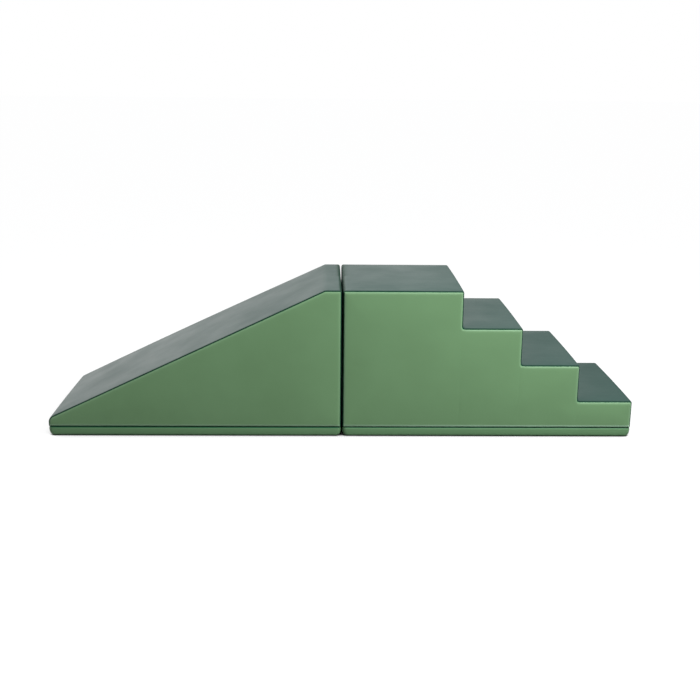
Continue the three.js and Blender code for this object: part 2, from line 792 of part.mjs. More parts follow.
// The puller: its end bar passes under the arch, and its eye is long enough to swing clear of it.
function zipPuller() {
  const bar = pullerThickness / 2;
  const eyeHalf = archWidth / 2 + clearance;
  const neck = eyeHalf + pullerArmWidth;
  const tab = pullerTabWidth / 2;
  const end = pullerEye + pullerTabLength;
  const plate = new THREE.Shape();
  plate.moveTo(-bar, -neck);
  plate.lineTo(pullerEye, -neck);
  plate.lineTo(pullerEye + pullerArmWidth, -tab);
  plate.lineTo(end - pullerCornerRadius, -tab);
  plate.quadraticCurveTo(end, -tab, end, -tab + pullerCornerRadius);
  plate.lineTo(end, tab - pullerCornerRadius);
  plate.quadraticCurveTo(end, tab, end - pullerCornerRadius, tab);
  plate.lineTo(pullerEye + pullerArmWidth, tab);
  plate.lineTo(pullerEye, neck);
  plate.lineTo(-bar, neck);
  const eye = new THREE.Path();
  eye.moveTo(bar, -eyeHalf);
  eye.lineTo(bar, eyeHalf);
  eye.lineTo(pullerEye, eyeHalf);
  eye.lineTo(pullerEye, -eyeHalf);
  const hole = new THREE.Path();
  hole.absarc(end - 2 * pullerCornerRadius, 0, pullerHoleRadius, 0, 2 * Math.PI, true);
  plate.holes.push(eye, hole);
  return extrude(plate, pullerThickness).translate(0, 0, pinHeight - bar);
}

function zipStop() {
  const shape = roundedRectangle(stopLength, chainWidth, stopLength / 4);
  return extrude(shape, stopThickness, 1).translate(0, 0, clearance);
}

// A strip of hook or loop tape, upright on the crown of a block's inner end
function gripStrip(block, thickness, way) {
  const strip = extrude(roundedRectangle(stripWidth, stripHeight, stripCornerRadius), thickness);
  const basis = new THREE.Matrix4().makeBasis(
    new THREE.Vector3(0, 1, 0),
    new THREE.Vector3(0, 0, 1),
    new THREE.Vector3(1, 0, 0),
  );
  const seat = -block.side * (endCrown + clearance);
  const start = block.side > 0 ? seat - thickness : seat;
  return strip.applyMatrix4(basis).translate(start, (way * stripSpacing) / 2, stripMidHeight);
}

function addPiece(group, name, geometry, material) {
  const piece = new THREE.Mesh(geometry, finish(material));
  piece.name = name;
  group.add(piece);
}

function addCover(group, block) {
  const panels = [
    ["front_side_panel", sidePanel(block, -1, lipHem), "sideCover"],
    ["back_side_panel", sidePanel(block, 1, openHem), "sideCover"],
    ["top_run", topRun(block), "topCover"],
    ["inner_end_panel", endPanel(block), "topCover"],
    ["base_band", baseBand(block), "sideCover"],
    ["base_panel", basePanel(block), "baseFabric"],
  ];
  for (const [name, geometry, material] of panels)
    addPiece(group, block.name + "_" + name, geometry, material);
}

function addZip(group, block) {
  for (const [place, way] of [["upper", 1], ["lower", -1]]) {
    addPiece(group, block.name + "_zip_" + place + "_tape", zipTape(block, way), "zipTape");
    addPiece(group, block.name + "_zip_" + place + "_coil", zipCoil(block, way), "zipCoil");
  }
  const start = zipStart(block);
  const slider = zipFrame(block, start - sliderLength / 2);
  addPiece(slider, block.name + "_zip_slider", zipSlider(), "zipMetal");
  addPiece(slider, block.name + "_zip_puller", zipPuller(), "zipMetal");
  const topStop = zipFrame(block, start + clearance + stopLength / 2);
  addPiece(topStop, block.name + "_zip_top_stop", zipStop(), "zipMetal");
  const bottomStop = zipFrame(block, start + zipBreak - clearance - stopLength / 2);
  addPiece(bottomStop, block.name + "_zip_bottom_stop", zipStop(), "zipMetal");
  group.add(slider, topStop, bottomStop);
}

function addGrips(group, block, kind, thickness, material) {
  for (const [place, way] of [["front", -1], ["back", 1]])
    addPiece(group, block.name + "_" + place + "_" + kind + "_strip", gripStrip(block, thickness, way), material);
}

const climber = new THREE.Group();
const middle = (slideLength - stepsLength) / 2;
for (const block of [steps, slide]) {
  const group = new THREE.Group();
  group.position.x = middle + (block.side * blockGap) / 2;
  addCover(group, block);
  addZip(group, block);
  climber.add(group);
  block.group = group;
}
for (let number = 1; number <= stepCount; number++)
  addPiece(steps.group, "steps_foam_slab_" + number, foamSlab(number), "foam");
addPiece(slide.group, "slide_foam_wedge", foamWedge(), "foam");
addGrips(steps.group, steps, "loop", loopThickness, "loopTape");
addGrips(slide.group, slide, "hook", hookThickness, "hookTape");

export default climber;
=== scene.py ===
# %% [markdown]
# # A soft play climber, dressed for its picture
# The climber is two foam blocks in zipped covers: a slide wedge and a flight of steps, end to end.
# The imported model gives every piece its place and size. This lesson makes each visible piece again
# with finer shape and a real finish, and hides the plain solid it stands for.

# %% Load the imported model
from math import atan, cos, hypot, pi, radians, sin
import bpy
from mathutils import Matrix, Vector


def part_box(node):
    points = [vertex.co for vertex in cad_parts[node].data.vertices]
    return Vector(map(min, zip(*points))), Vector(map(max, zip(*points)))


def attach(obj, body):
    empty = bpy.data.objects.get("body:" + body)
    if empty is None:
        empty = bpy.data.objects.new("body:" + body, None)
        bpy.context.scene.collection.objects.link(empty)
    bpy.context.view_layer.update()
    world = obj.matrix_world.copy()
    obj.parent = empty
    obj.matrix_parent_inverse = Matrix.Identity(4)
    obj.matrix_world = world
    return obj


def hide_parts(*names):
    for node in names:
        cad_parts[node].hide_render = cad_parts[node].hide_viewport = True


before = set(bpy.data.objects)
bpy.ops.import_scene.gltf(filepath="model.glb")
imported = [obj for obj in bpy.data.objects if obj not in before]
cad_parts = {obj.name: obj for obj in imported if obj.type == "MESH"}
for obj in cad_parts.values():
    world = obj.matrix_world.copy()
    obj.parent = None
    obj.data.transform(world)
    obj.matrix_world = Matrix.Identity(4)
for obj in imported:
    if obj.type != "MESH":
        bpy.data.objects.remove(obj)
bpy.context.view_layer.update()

from types import SimpleNamespace

import bmesh
import bpy
import numpy as np
from mathutils import Matrix, Vector

MM = 0.001
print("packed nodes:", len(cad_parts))

# %% [markdown]
# ## The measures of the blocks
# A cover is sewn from flat pieces, and its seams lie a little inside the block's square shape,
# because the foam crowns each face outwards between them. So the blocks are described by where their
# seams run. "Along" is measured from the inner end of a block, where the two blocks meet, and "side"
# says which way the block runs from there.

# %% Write down the measures
DEPTH = 600 * MM
RISE = 150 * MM
TREADS = [240 * MM, 236 * MM, 222 * MM]
PLATFORM = 476 * MM
LENGTH = 1174 * MM
NOSE_HEIGHT = 74 * MM
LANDING = 67 * MM
HEIGHT = RISE * (len(TREADS) + 1)
HALF_DEPTH = DEPTH / 2

# Seams, crowns and rounded corners. A hair stays open at a seam, and seated pieces keep a small gap
SEAM_DROP = 4 * MM
SEAM_INSET = 4.2 * MM
SEAM_HAIR = 0.2 * MM
ROLL_WIDTH = 12 * MM
CROWN = 3 * MM
END_CROWN = 0.4 * MM
CROWN_REACH = 160 * MM
FOLD_RADIUS = 5 * MM
NOOK_RADIUS = 12 * MM
NOSE_REACH = 16 * MM
BEND_REACH = 10 * MM
FABRIC = 1.2 * MM
SEAT = 0.3 * MM

# A tread's nose bows out, the toe swells, and the ramp's back edge lifts
FOLD_BOW = 2 * MM
BOW_REACH = 70 * MM
TOE_SWELL = 2 * MM
BACK_LIFT = 6 * MM
LIFT_TURN = 0.85 * pi

# The zip, the hems beside it and the foot below it
ZIP_HEIGHT = 38 * MM
ZIP_DEPTH = 9 * MM
HEM_ROLL = 10 * MM
BAND_ROLL = 8 * MM
LIP_GAP = 1 * MM
OPEN_GAP = 5.2 * MM
LIP_DROP = 4.8 * MM
OPEN_DROP = 7.5 * MM
PLUMB_RADIUS = 18 * MM
FOOT_RADIUS = 14 * MM
SIDE_FOOT_RISE = 8 * MM
END_FOOT_RISE = 26 * MM
BAND_BULGE = 0.5 * MM

# Where fine lines lie beside a seam, and how far apart the lines are elsewhere
ROLL_LINES = [0.3 * MM, 0.8 * MM, 1.6 * MM, 2.8 * MM, 4.6 * MM, 7.6 * MM, 12 * MM]
LINE_SPACING = 16 * MM
LEAST_SPACING = 3 * MM

lip_hem = SimpleNamespace(height=ZIP_HEIGHT + LIP_GAP, drop=LIP_DROP)
open_hem = SimpleNamespace(height=ZIP_HEIGHT + OPEN_GAP, drop=OPEN_DROP)
half_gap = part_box("steps_inner_end_panel")[0].x + END_CROWN
print("half of the gap between the blocks:", round(half_gap / MM, 2), "mm")

# %% [markdown]
# The steps go down in four equal risers. A tread folds over into the riser below it, and meets the
# riser above it in a tight nook. The slide starts at a low nose, rises straight, and bends into a
# short landing. Each corner is listed with the size of its rounding. A block also notes how far its
# toe swells and its back edge lifts, how strong the painted highlight is at its rims and at the lip
# over its zip, from the gap outwards, and how far painted shade reaches into that lip from the
# zip's slit.

# %% Trace the seams of both blocks
def steps_corners():
    risers = [PLATFORM + sum(TREADS[:k]) - SEAM_INSET for k in range(4)]
    levels = [HEIGHT - RISE * k - SEAM_INSET for k in range(4)]
    corners = []
    for k in (3, 2, 1, 0):
        corners.append((risers[k], levels[k], FOLD_RADIUS))
        if k:
            corners.append((risers[k - 1], levels[k], NOOK_RADIUS))
    return corners + [(SEAM_INSET, levels[0], 0)]


RAMP_SLOPE = (HEIGHT - NOSE_HEIGHT) / (LENGTH - LANDING)
RAMP_STRETCH = hypot(1, RAMP_SLOPE)


def ramp_height(along, depth):
    return NOSE_HEIGHT + RAMP_SLOPE * (LENGTH - along) - depth * RAMP_STRETCH


def slide_corners():
    nose = LENGTH - SEAM_INSET + TOE_SWELL
    landing = HEIGHT - SEAM_INSET
    bend = LENGTH - (landing + SEAM_INSET * RAMP_STRETCH - NOSE_HEIGHT) / RAMP_SLOPE
    return [
        (nose, ramp_height(nose, SEAM_INSET), NOSE_REACH),
        (bend, landing, BEND_REACH),
        (SEAM_INSET, landing, 0),
    ]


steps = SimpleNamespace(
    name="steps", side=1, body="steps_block", corners=steps_corners(), swell=0, back_lift=0,
    rim_painted_highlight=0.12, lip_painted_highlight=(0.45, 0.8), lip_painted_shade=0.8 * MM)
slide = SimpleNamespace(
    name="slide", side=-1, body="slide_block", corners=slide_corners(), swell=TOE_SWELL,
    back_lift=BACK_LIFT, rim_painted_highlight=0.055, lip_painted_highlight=(0.35, 0.35), lip_painted_shade=1.8 * MM)


def x_at(block, along):
    return block.side * (half_gap + along)


def along_at(block, x):
    return block.side * x - half_gap


for block in (steps, slide):
    block.end = LENGTH - SEAM_INSET + block.swell
    block.middle = Vector((x_at(block, LENGTH / 3), 0, HEIGHT / 3))
print("steps:", len(steps.corners), "corners, slide:", len(slide.corners), "corners")

# %% [markdown]
# ## Small helpers
# Colours are written as they look on a screen, and the shader wants them as amounts of light. A
# material is a small graph of nodes, and one helper adds a node with its settings and its links. The
# others use it for what comes up again: a range that is stretched to another, the larger of two
# values, a mix of two colours, noise, cells, bump, and the skin that a material ends in. Patterns are
# placed by a point's place on its piece.

# %% Helpers for colours and nodes
def light_amounts(hex_colour):
    shares = [int(hex_colour[i : i + 2], 16) / 255 for i in (1, 3, 5)]
    return [s / 12.92 if s <= 0.04045 else ((s + 0.055) / 1.055) ** 2.4 for s in shares] + [1]


WHITE = light_amounts("#ffffff")


def add(tree, kind, inputs={}, links={}, **settings):
    made = tree.nodes.new("ShaderNode" + kind)
    for name, value in settings.items():
        setattr(made, name, value)
    for name, value in inputs.items():
        made.inputs[name].default_value = value
    for name, source in links.items():
        tree.links.new(source, made.inputs[name])
    return made


def remap(tree, value, start, end, low, high):
    limits = {"From Min": start, "From Max": end, "To Min": low, "To Max": high}
    return add(tree, "MapRange", limits, {"Value": value}).outputs[0]


def larger(tree, first, second):
    return add(tree, "Math", links={0: first, 1: second}, operation="MAXIMUM").outputs[0]


def blend(tree, share, first, second):
    """Mixes two colours, each written as a hex colour or taken from a node."""
    sides = {6: first, 7: second}
    inputs = {n: light_amounts(colour) for n, colour in sides.items() if isinstance(colour, str)}
    links = {n: colour for n, colour in sides.items() if n not in inputs}
    return add(tree, "Mix", inputs, {0: share, **links}, data_type="RGBA").outputs[2]


def straight_look(tree, path):
    """Is 1 for a ray that comes from the camera, also one that has passed through something clear."""
    return larger(tree, path.outputs["Is Camera Ray"], path.outputs["Is Transmission Ray"])


def new_material(name):
    material = bpy.data.materials.new(name)
    material.use_nodes = True
    material.node_tree.nodes.clear()
    return material, material.node_tree


def new_finish(name):
    material, tree = new_material(name)
    return material, tree, add(tree, "TexCoord").outputs["Object"]


def noise(tree, place, scale, detail, **more):
    inputs = {"Scale": scale, "Detail": detail, **more}
    return add(tree, "TexNoise", inputs, {"Vector": place}).outputs["Fac"]


def cells(tree, place, size, **more):
    return add(tree, "TexVoronoi", {"Scale": 1 / size, **more}, {"Vector": place}).outputs["Distance"]


def bump(tree, height, strength, distance, **more):
    inputs = {"Strength": strength, "Distance": distance}
    return add(tree, "Bump", inputs, {"Height": height, **more}).outputs[0]


def stretch(tree, place, sizes):
    return add(tree, "Mapping", {"Scale": [1 / size for size in sizes]}, {"Vector": place}).outputs[0]


def add_skin(tree, inputs, links):
    skin = add(tree, "BsdfPrincipled", inputs, links)
    add(tree, "OutputMaterial", links={"Surface": skin.outputs[0]})


# %% [markdown]
# Drawing has steps that come up again too: a flat face, a bevel, a small box with soft edges, a
# straight cut through everything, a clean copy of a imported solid, and an object put in the scene.

# %% Helpers that draw
SAME_PLACE = 0.005 * MM


def flat_face(width, height):
    bm = bmesh.new()
    bmesh.ops.create_grid(bm, x_segments=1, y_segments=1, size=0.5)
    bmesh.ops.scale(bm, vec=(width, height, 1), verts=bm.verts)
    return bm


def bevel(bm, chosen, width, segments, affect, clamp=False):
    bmesh.ops.bevel(bm, geom=chosen, offset=width, offset_type="OFFSET", segments=segments,
                    profile=0.5, affect=affect, material=-1, clamp_overlap=clamp)


def small_box(size, ease):
    bm = bmesh.new()
    bmesh.ops.create_cube(bm, size=1)
    bmesh.ops.scale(bm, vec=size, verts=bm.verts)
    bevel(bm, bm.edges[:], ease, 1, "EDGES")
    return bm


def drop_faces(bm):
    bmesh.ops.delete(bm, geom=bm.faces[:], context="FACES_ONLY")


def split_edges(bm, spacing):
    for edge in bm.edges[:]:
        cuts = int(edge.calc_length() / spacing)
        if cuts:
            bmesh.ops.subdivide_edges(bm, edges=[edge], cuts=cuts)


def cut(bm, place, across, clear_outer=False):
    geometry = bm.verts[:] + bm.edges[:] + bm.faces[:]
    return bmesh.ops.bisect_plane(bm, geom=geometry, dist=1e-6, plane_co=place, plane_no=across,
                                  clear_outer=clear_outer)


def merged_copy(node):
    bm = bmesh.new()
    bm.from_mesh(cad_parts[node].data)
    bmesh.ops.remove_doubles(bm, verts=bm.verts, dist=SAME_PLACE)
    return bm


def sharp_edges(bm, angle):
    return [e for e in bm.edges if len(e.link_faces) == 2 and e.calc_face_angle() > angle]


def mesh_from(bm, name):
    mesh = bpy.data.meshes.new(name)
    bm.to_mesh(mesh)
    bm.free()
    return mesh


def place_new(name, data):
    made = bpy.data.objects.new(name, data)
    bpy.context.scene.collection.objects.link(made)
    return made


def make_curve(traced):
    for chosen in bpy.context.selected_objects:
        chosen.select_set(False)
    traced.select_set(True)
    bpy.context.view_layer.objects.active = traced
    bpy.ops.object.convert(target="CURVE")


# %% [markdown]
# ## Set up the picture
# The camera stands where the photograph was taken from: a little left of the middle, well back, and
# looking down on the platform. Its place was fitted to the seams of the blocks.

# %% Place the camera
FOCAL_PIXELS = 1046.2
PICTURE_WIDTH = 700
YAW, PITCH, ROLL = 0.02463, 0.25772, 0.01032
CAMERA_PLACE = (-0.06785, -4.31097, 1.41892)

forward = Vector((sin(YAW) * cos(PITCH), cos(YAW) * cos(PITCH), -sin(PITCH)))
level = Vector((cos(YAW), -sin(YAW), 0))
upward = level.cross(forward)
right = cos(ROLL) * level + sin(ROLL) * upward
above = -sin(ROLL) * level + cos(ROLL) * upward

camera_data = bpy.data.cameras.new("camera")
camera_data.sensor_width = 36
camera_data.lens = FOCAL_PIXELS / PICTURE_WIDTH * camera_data.sensor_width
camera_data.clip_end = 200
camera = place_new("camera", camera_data)
turn = Matrix((right, above, -forward)).transposed().to_4x4()
camera.matrix_world = Matrix.Translation(CAMERA_PLACE) @ turn
bpy.context.scene.camera = camera
bpy.context.scene.view_settings.view_transform = "Standard"
print("lens:", round(camera_data.lens, 2), "mm")

# %% [markdown]
# ## The floor, the background and the lamp
# The picture's background is plain white, and only the faintest shadow lies round the foot of the
# blocks. To the camera, and in reflections, the floor is mostly light of its own, which fades where the
# blocks shut the floor in, under them and between them. An ambient occlusion node measures that. To
# every other ray it is a plain dark floor, so that it lights the blocks as the photograph shows.

# %% Make the floor
FLOOR_WIDTH = 120
SHADE_REACH = 0.1
SHUT_IN, OPEN = 0.3, 0.58
OPEN_GLOW = 0.96


def floor_material():
    material, tree = new_material("pale studio floor")
    path = add(tree, "LightPath")
    plain = add(tree, "BsdfDiffuse", {"Color": light_amounts("#262727")})
    shaded = add(tree, "BsdfDiffuse", {"Color": light_amounts("#5e5f61")})
    openness = add(tree, "AmbientOcclusion", {"Distance": SHADE_REACH}, samples=8)
    lit = remap(tree, openness.outputs["AO"], SHUT_IN, OPEN, 0, OPEN_GLOW)
    glow = add(tree, "Emission", {"Color": WHITE}, {"Strength": lit})
    shown = add(tree, "AddShader", links={0: shaded.outputs[0], 1: glow.outputs[0]})
    seen = larger(tree, straight_look(tree, path), path.outputs["Is Glossy Ray"])
    both = add(tree, "MixShader", links={0: seen, 1: plain.outputs[0], 2: shown.outputs[0]})
    add(tree, "OutputMaterial", links={"Surface": both.outputs[0]})
    return material


floor = place_new("floor", mesh_from(flat_face(FLOOR_WIDTH, FLOOR_WIDTH), "floor"))
floor.data.materials.append(floor_material())
print("floor:", floor.dimensions[:])

# %% [markdown]
# The light in the picture is soft. It comes from above and from the front right, so the sides are
# brightest at their upper right and fall off towards the lower left. The dark tops are seen at a low
# angle and mirror the back of the room, which is brightest at the left. So the ramp looks greyer than
# the platform, and the treads are darkest. The world adds even light, is white to the camera, and
# gives reflections that bright left wall.

# %% Light the scene
WORLD_LIGHT = 0.29
WALL_BRIGHT, WALL_DIM, CORNER_GLOW = 1.24, 0.1, 0.36
WALL_END = 0.37
CORNER_START, CORNER_END = -0.45, -0.15
LAMP_PLACE, LAMP_AIM = (1.7, -1.4, 2.6), (0.4, -0.2, 0.3)
LAMP_SIZE, LAMP_POWER = 1.4, 122


def make_world():
    world = bpy.data.worlds.new("white studio")
    world.use_nodes = True
    tree = world.node_tree
    tree.nodes.clear()
    path = add(tree, "LightPath")
    even = add(tree, "Background", {"Color": WHITE, "Strength": WORLD_LIGHT})
    white = add(tree, "Background", {"Color": WHITE, "Strength": 1})
    direction = add(tree, "SeparateXYZ", links={0: add(tree, "TexCoord").outputs["Generated"]})
    to_right = direction.outputs["X"]
    wall = remap(tree, to_right, 0, WALL_END, WALL_BRIGHT, WALL_DIM)
    corner = remap(tree, to_right, CORNER_START, CORNER_END, CORNER_GLOW, 0)
    wall = add(tree, "Math", links={0: wall, 1: corner}, operation="ADD").outputs[0]
    room = add(tree, "Background", {"Color": WHITE}, {"Strength": wall})
    seen = straight_look(tree, path)
    mirrored = add(tree, "MixShader", links={0: path.outputs["Is Glossy Ray"],
                                             1: even.outputs[0], 2: room.outputs[0]})
    both = add(tree, "MixShader", links={0: seen, 1: mirrored.outputs[0], 2: white.outputs[0]})
    add(tree, "OutputWorld", links={"Surface": both.outputs[0]})
    bpy.context.scene.world = world


def soft_lamp(name, place, aim, size, power):
    data = bpy.data.lights.new(name, "AREA")
    data.size = size
    data.energy = power
    lamp = place_new(name, data)
    lamp.location = place
    lamp.rotation_euler = (Vector(aim) - Vector(place)).to_track_quat("-Z", "Y").to_euler()


make_world()
soft_lamp("front right softbox", LAMP_PLACE, LAMP_AIM, LAMP_SIZE, LAMP_POWER)
print("world light:", WORLD_LIGHT)

# %% [markdown]
# ## The finishes
# The cover is polyurethane-coated fabric: a smooth skin with a very fine pressed grain over a knitted
# back. Its gloss is soft, and the grain, about 0.9 mm, breaks up the highlights. Pulled over foam it
# shows faint long ripples, centimetres apart and less than a millimetre high, so they are drawn as
# bump. Each panel stores two painted tones with its points: painted shade in the valley of a seam or
# hem, which also dulls the gloss there, and a painted highlight on the rim beside it.

# %% Coated fabric
PATCH_SIZE = 0.18
GRAIN_SIZE = 0.9 * MM


def coated_fabric(name, plain, worn, pale, painted_shade_colour, roughness, ripple_size, ripple_height):
    material, tree, place = new_finish(name)
    # Painted shade in seams and hems, and a painted highlight on the rims, are read from two attributes
    # of the points.
    seam_shade = add(tree, "Attribute", attribute_name="seam_shade").outputs["Fac"]
    edge_pale = add(tree, "Attribute", attribute_name="edge_pale").outputs["Fac"]
    patch = noise(tree, place, 1 / PATCH_SIZE, 3, Roughness=0.5)
    colour = blend(tree, remap(tree, patch, 0.35, 0.7, 0, 0.35), plain, worn)
    colour = blend(tree, edge_pale, colour, pale)
    colour = blend(tree, seam_shade, colour, painted_shade_colour)
    gloss = remap(tree, patch, 0.3, 0.7, roughness - 0.05, roughness + 0.06)
    ripple = noise(tree, stretch(tree, place, ripple_size), 1, 2, Roughness=0.45, Distortion=0.4)
    soft = bump(tree, ripple, 1, ripple_height)
    fine = bump(tree, cells(tree, place, GRAIN_SIZE), 0.2, 0.05 * MM, Normal=soft)
    # The painted shade also turns the gloss down in seams and hems.
    add_skin(tree, {"IOR": 1.5},
             {"Base Color": colour, "Roughness": gloss, "Normal": fine,
              "Specular IOR Level": remap(tree, seam_shade, 0, 1, 0.5, 0.08)})
    return material


# Each fabric's third colour is its painted rim highlight and its fourth the painted shade of its seams
# and hems; the dark fabric's highlight colour is its plain colour.
side_fabric = coated_fabric(
    "polyurethane-coated fabric, light green", "#729b6e", "#6a9065", "#bde8c6", "#1f5b3e", 0.48,
    (0.16, 0.16, 0.16), 0.9 * MM)
top_fabric = coated_fabric(
    "polyurethane-coated fabric, dark green", "#25443d", "#213e38", "#25443d", "#17392b", 0.46,
    (0.24, 0.02, 0.24), 0.42 * MM)
print("coated fabrics made")

# %% [markdown]
# Under the cover is open-cell foam: cream, quite matt, and full of pores, about 1.5 mm from one to
# the next.

# %% Foam
PORE_SIZE = 1.5 * MM
FOAM_PATCH = 0.09


def foam_finish():
    material, tree, place = new_finish("open-cell polyurethane foam, cream")
    colour = blend(tree, noise(tree, place, 1 / FOAM_PATCH, 3), "#e9e4cf", "#e0d9bf")
    normal = bump(tree, cells(tree, place, PORE_SIZE), 0.6, 0.4 * MM)
    add_skin(tree, {"Roughness": 0.95, "IOR": 1.4}, {"Base Color": colour, "Normal": normal})
    return material


foam = foam_finish()

# %% [markdown]
# The underside is a dark woven fabric with rubber dots that stop the blocks from sliding. The dots
# stand about 5 mm apart.

# %% Non-slip base fabric
DOT_SPACING = 5 * MM


def base_finish():
    material, tree, place = new_finish("dotted non-slip fabric, dark")
    is_dot = remap(tree, cells(tree, place, DOT_SPACING, Randomness=0), 0.3, 0.22, 0, 1)
    add_skin(tree, {"IOR": 1.5},
             {"Base Color": blend(tree, is_dot, "#2d332f", "#171a18"),
              "Roughness": remap(tree, is_dot, 0, 1, 0.9, 0.5),
              "Normal": bump(tree, is_dot, 0.8, 0.3 * MM)})
    return material


base_fabric = base_finish()

# %% [markdown]
# The zip's tape is woven polyester. Its ribs run along the tape about every millimetre. The hook and
# loop strips are knitted nylon tapes, one with stiff hooks 1.5 mm apart and one with a soft pile in
# tufts of about 3 mm.

# %% Tapes
def tape_finish(name, hex_colour, lift_colour, pattern_size, roughness, height):
    material, tree, place = new_finish(name)
    weave = noise(tree, stretch(tree, place, pattern_size), 1, 1)
    add_skin(tree, {"Roughness": roughness, "IOR": 1.5},
             {"Base Color": blend(tree, weave, hex_colour, lift_colour),
              "Normal": bump(tree, weave, 0.8, height)})
    return material


zip_tape = tape_finish("woven polyester tape, dark green", "#2c4a35", "#3a5a44",
                       (2 * MM, 2 * MM, 1 * MM), 0.9, 0.3 * MM)
hook_tape = tape_finish("nylon hook tape, dark", "#1f2421", "#333a36",
                        (1.5 * MM, 1.5 * MM, 1.5 * MM), 0.8, 0.8 * MM)
loop_tape = tape_finish("nylon loop tape, dark", "#262c28", "#3a423d",
                        (3 * MM, 3 * MM, 3 * MM), 0.95, 0.8 * MM)

# %% [markdown]
# The zip's teeth are a moulded nylon coil, and its slider, puller and stops are plated die-cast zinc,
# which is satin rather than bright after some use. The thread of the seams is polyester.

# %% Coil, metal and thread
def plain_finish(name, hex_colour, other_colour, roughness, metallic, spot):
    material, tree, place = new_finish(name)
    tone = noise(tree, place, 1 / spot, 2)
    add_skin(tree, {"Metallic": metallic},
             {"Base Color": blend(tree, tone, hex_colour, other_colour),
              "Roughness": remap(tree, tone, 0, 1, roughness - 0.06, roughness + 0.06),
              "Normal": bump(tree, tone, 0.3, 0.05 * MM)})
    return material


zip_coil = plain_finish("moulded nylon coil, dark green", "#27422f", "#304d39", 0.45, 0, 2 * MM)
zip_metal = plain_finish("plated die-cast zinc, satin", "#9a9c9e", "#a8aaab", 0.32, 0.95, 3 * MM)
thread = plain_finish("polyester thread, dark green", "#233a2b", "#2c4634", 0.7, 0, 1 * MM)
print("materials:", len(bpy.data.materials))

# %% [markdown]
# ## Making pieces
# Every piece is built in a bmesh, turned to face away from the middle of its block, and then handed
# over: it rides on its block, it stands for its plain solid, which is hidden, and it gets its finish.

# %% Helpers that finish a piece
def face_away(bm, middle):
    bm.normal_update()
    out = sum((f.calc_center_median() - middle).dot(f.normal) * f.calc_area() for f in bm.faces)
    if out < 0:
        bmesh.ops.reverse_faces(bm, faces=bm.faces)
        bm.normal_update()


def finish_piece(name, mesh, material, body, replaces):
    mesh.materials.clear()
    mesh.materials.append(material)
    mesh.shade_smooth()
    made = place_new(name, mesh)
    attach(made, body)
    if replaces:
        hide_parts(*replaces)
    return made


def piece_from(bm, name, material, body, replaces=()):
    return finish_piece(name, mesh_from(bm, name), material, body, replaces)


def give_thickness(piece, thickness=FABRIC):
    shell = piece.modifiers.new("fabric thickness", "SOLIDIFY")
    shell.thickness = thickness
    shell.offset = -1


# %% [markdown]
# ## How a sewn face swells
# A seam draws the fabric in, so a face rolls down towards it in a quarter round. Away from the seams
# the foam pushes the face out in a low crown. The same few lines of arithmetic shape every panel, so
# neighbours always meet at their shared seam. A hem above the zip draws in deeper than a seam does,
# and there the neighbouring seam moves in with it, to keep the mitre. The ramp's back edge alone is
# lifted a few millimetres, because the photograph shows it fuller there.

# %% The swell of a face
def roll_at(distance, width, drop):
    share = 1 - np.clip(distance / width, 0, 1)
    return drop * (1 - np.sqrt(1 - share * share))


def crown_at(distance, height):
    share = np.clip(distance / CROWN_REACH, 0, 1)
    return height * share * (2 - share)


def face_rise(seam, above_hem, drop, fold=np.inf, crown=CROWN):
    roll = np.maximum(roll_at(seam, ROLL_WIDTH, SEAM_DROP), roll_at(above_hem, HEM_ROLL, drop))
    return crown_at(np.minimum(np.minimum(seam, above_hem), fold), crown) - roll


def mitre_shift(seam, rise):
    nearness = np.maximum(1 - (seam / ROLL_WIDTH) ** 2, 0)
    return np.maximum(SEAM_HAIR - rise - SEAM_INSET, 0) * nearness


def ramp_lift(block, along, across, height):
    """Lifts a point of the ramp: it stands a few millimetres fuller along its back edge."""
    down_ramp = np.clip((along - LANDING) / (LENGTH - LANDING), 0, 1)
    surface = ramp_height(np.clip(along, LANDING, LENGTH), 0)
    up = np.clip((height - lip_hem.height) / (surface - lip_hem.height), 0, 1)
    backward = np.clip(across / DEPTH + 0.5, 0, 1)
    return block.back_lift * np.sin(LIFT_TURN * down_ramp) * up * backward


def distance_to_lines(points, lines):
    starts = np.array([line[0] for line in lines])
    runs = np.array([line[1] for line in lines]) - starts
    to_point = points[:, None, :] - starts[None]
    share = (to_point * runs).sum(2) / (runs * runs).sum(1)
    nearest = np.clip(share, 0, 1)[..., None] * runs
    return np.sqrt(((to_point - nearest) ** 2).sum(2)).min(1)


# %% [markdown]
# Coated fabric over foam is never quite even. It is cut a hair too large, the foam presses it out, and
# it settles into a low, soft swell that no formula draws. So each large panel is let go for twenty
# frames of cloth simulation: sewn edges and folds held still, a light pressure from behind, no
# gravity. The whole movement is then scaled down to the few millimetres that a tight cover allows.

# %% Let a panel settle
SETTLE_MOST = 2.5 * MM
HELD_EDGE = 14 * MM
FOLD_FREE = HELD_EDGE / 3
SETTLE_FRAMES = 20
CLOTH_MASS = 0.3
CUT_TOO_LARGE = 0.006
FOAM_PRESSURE = 4


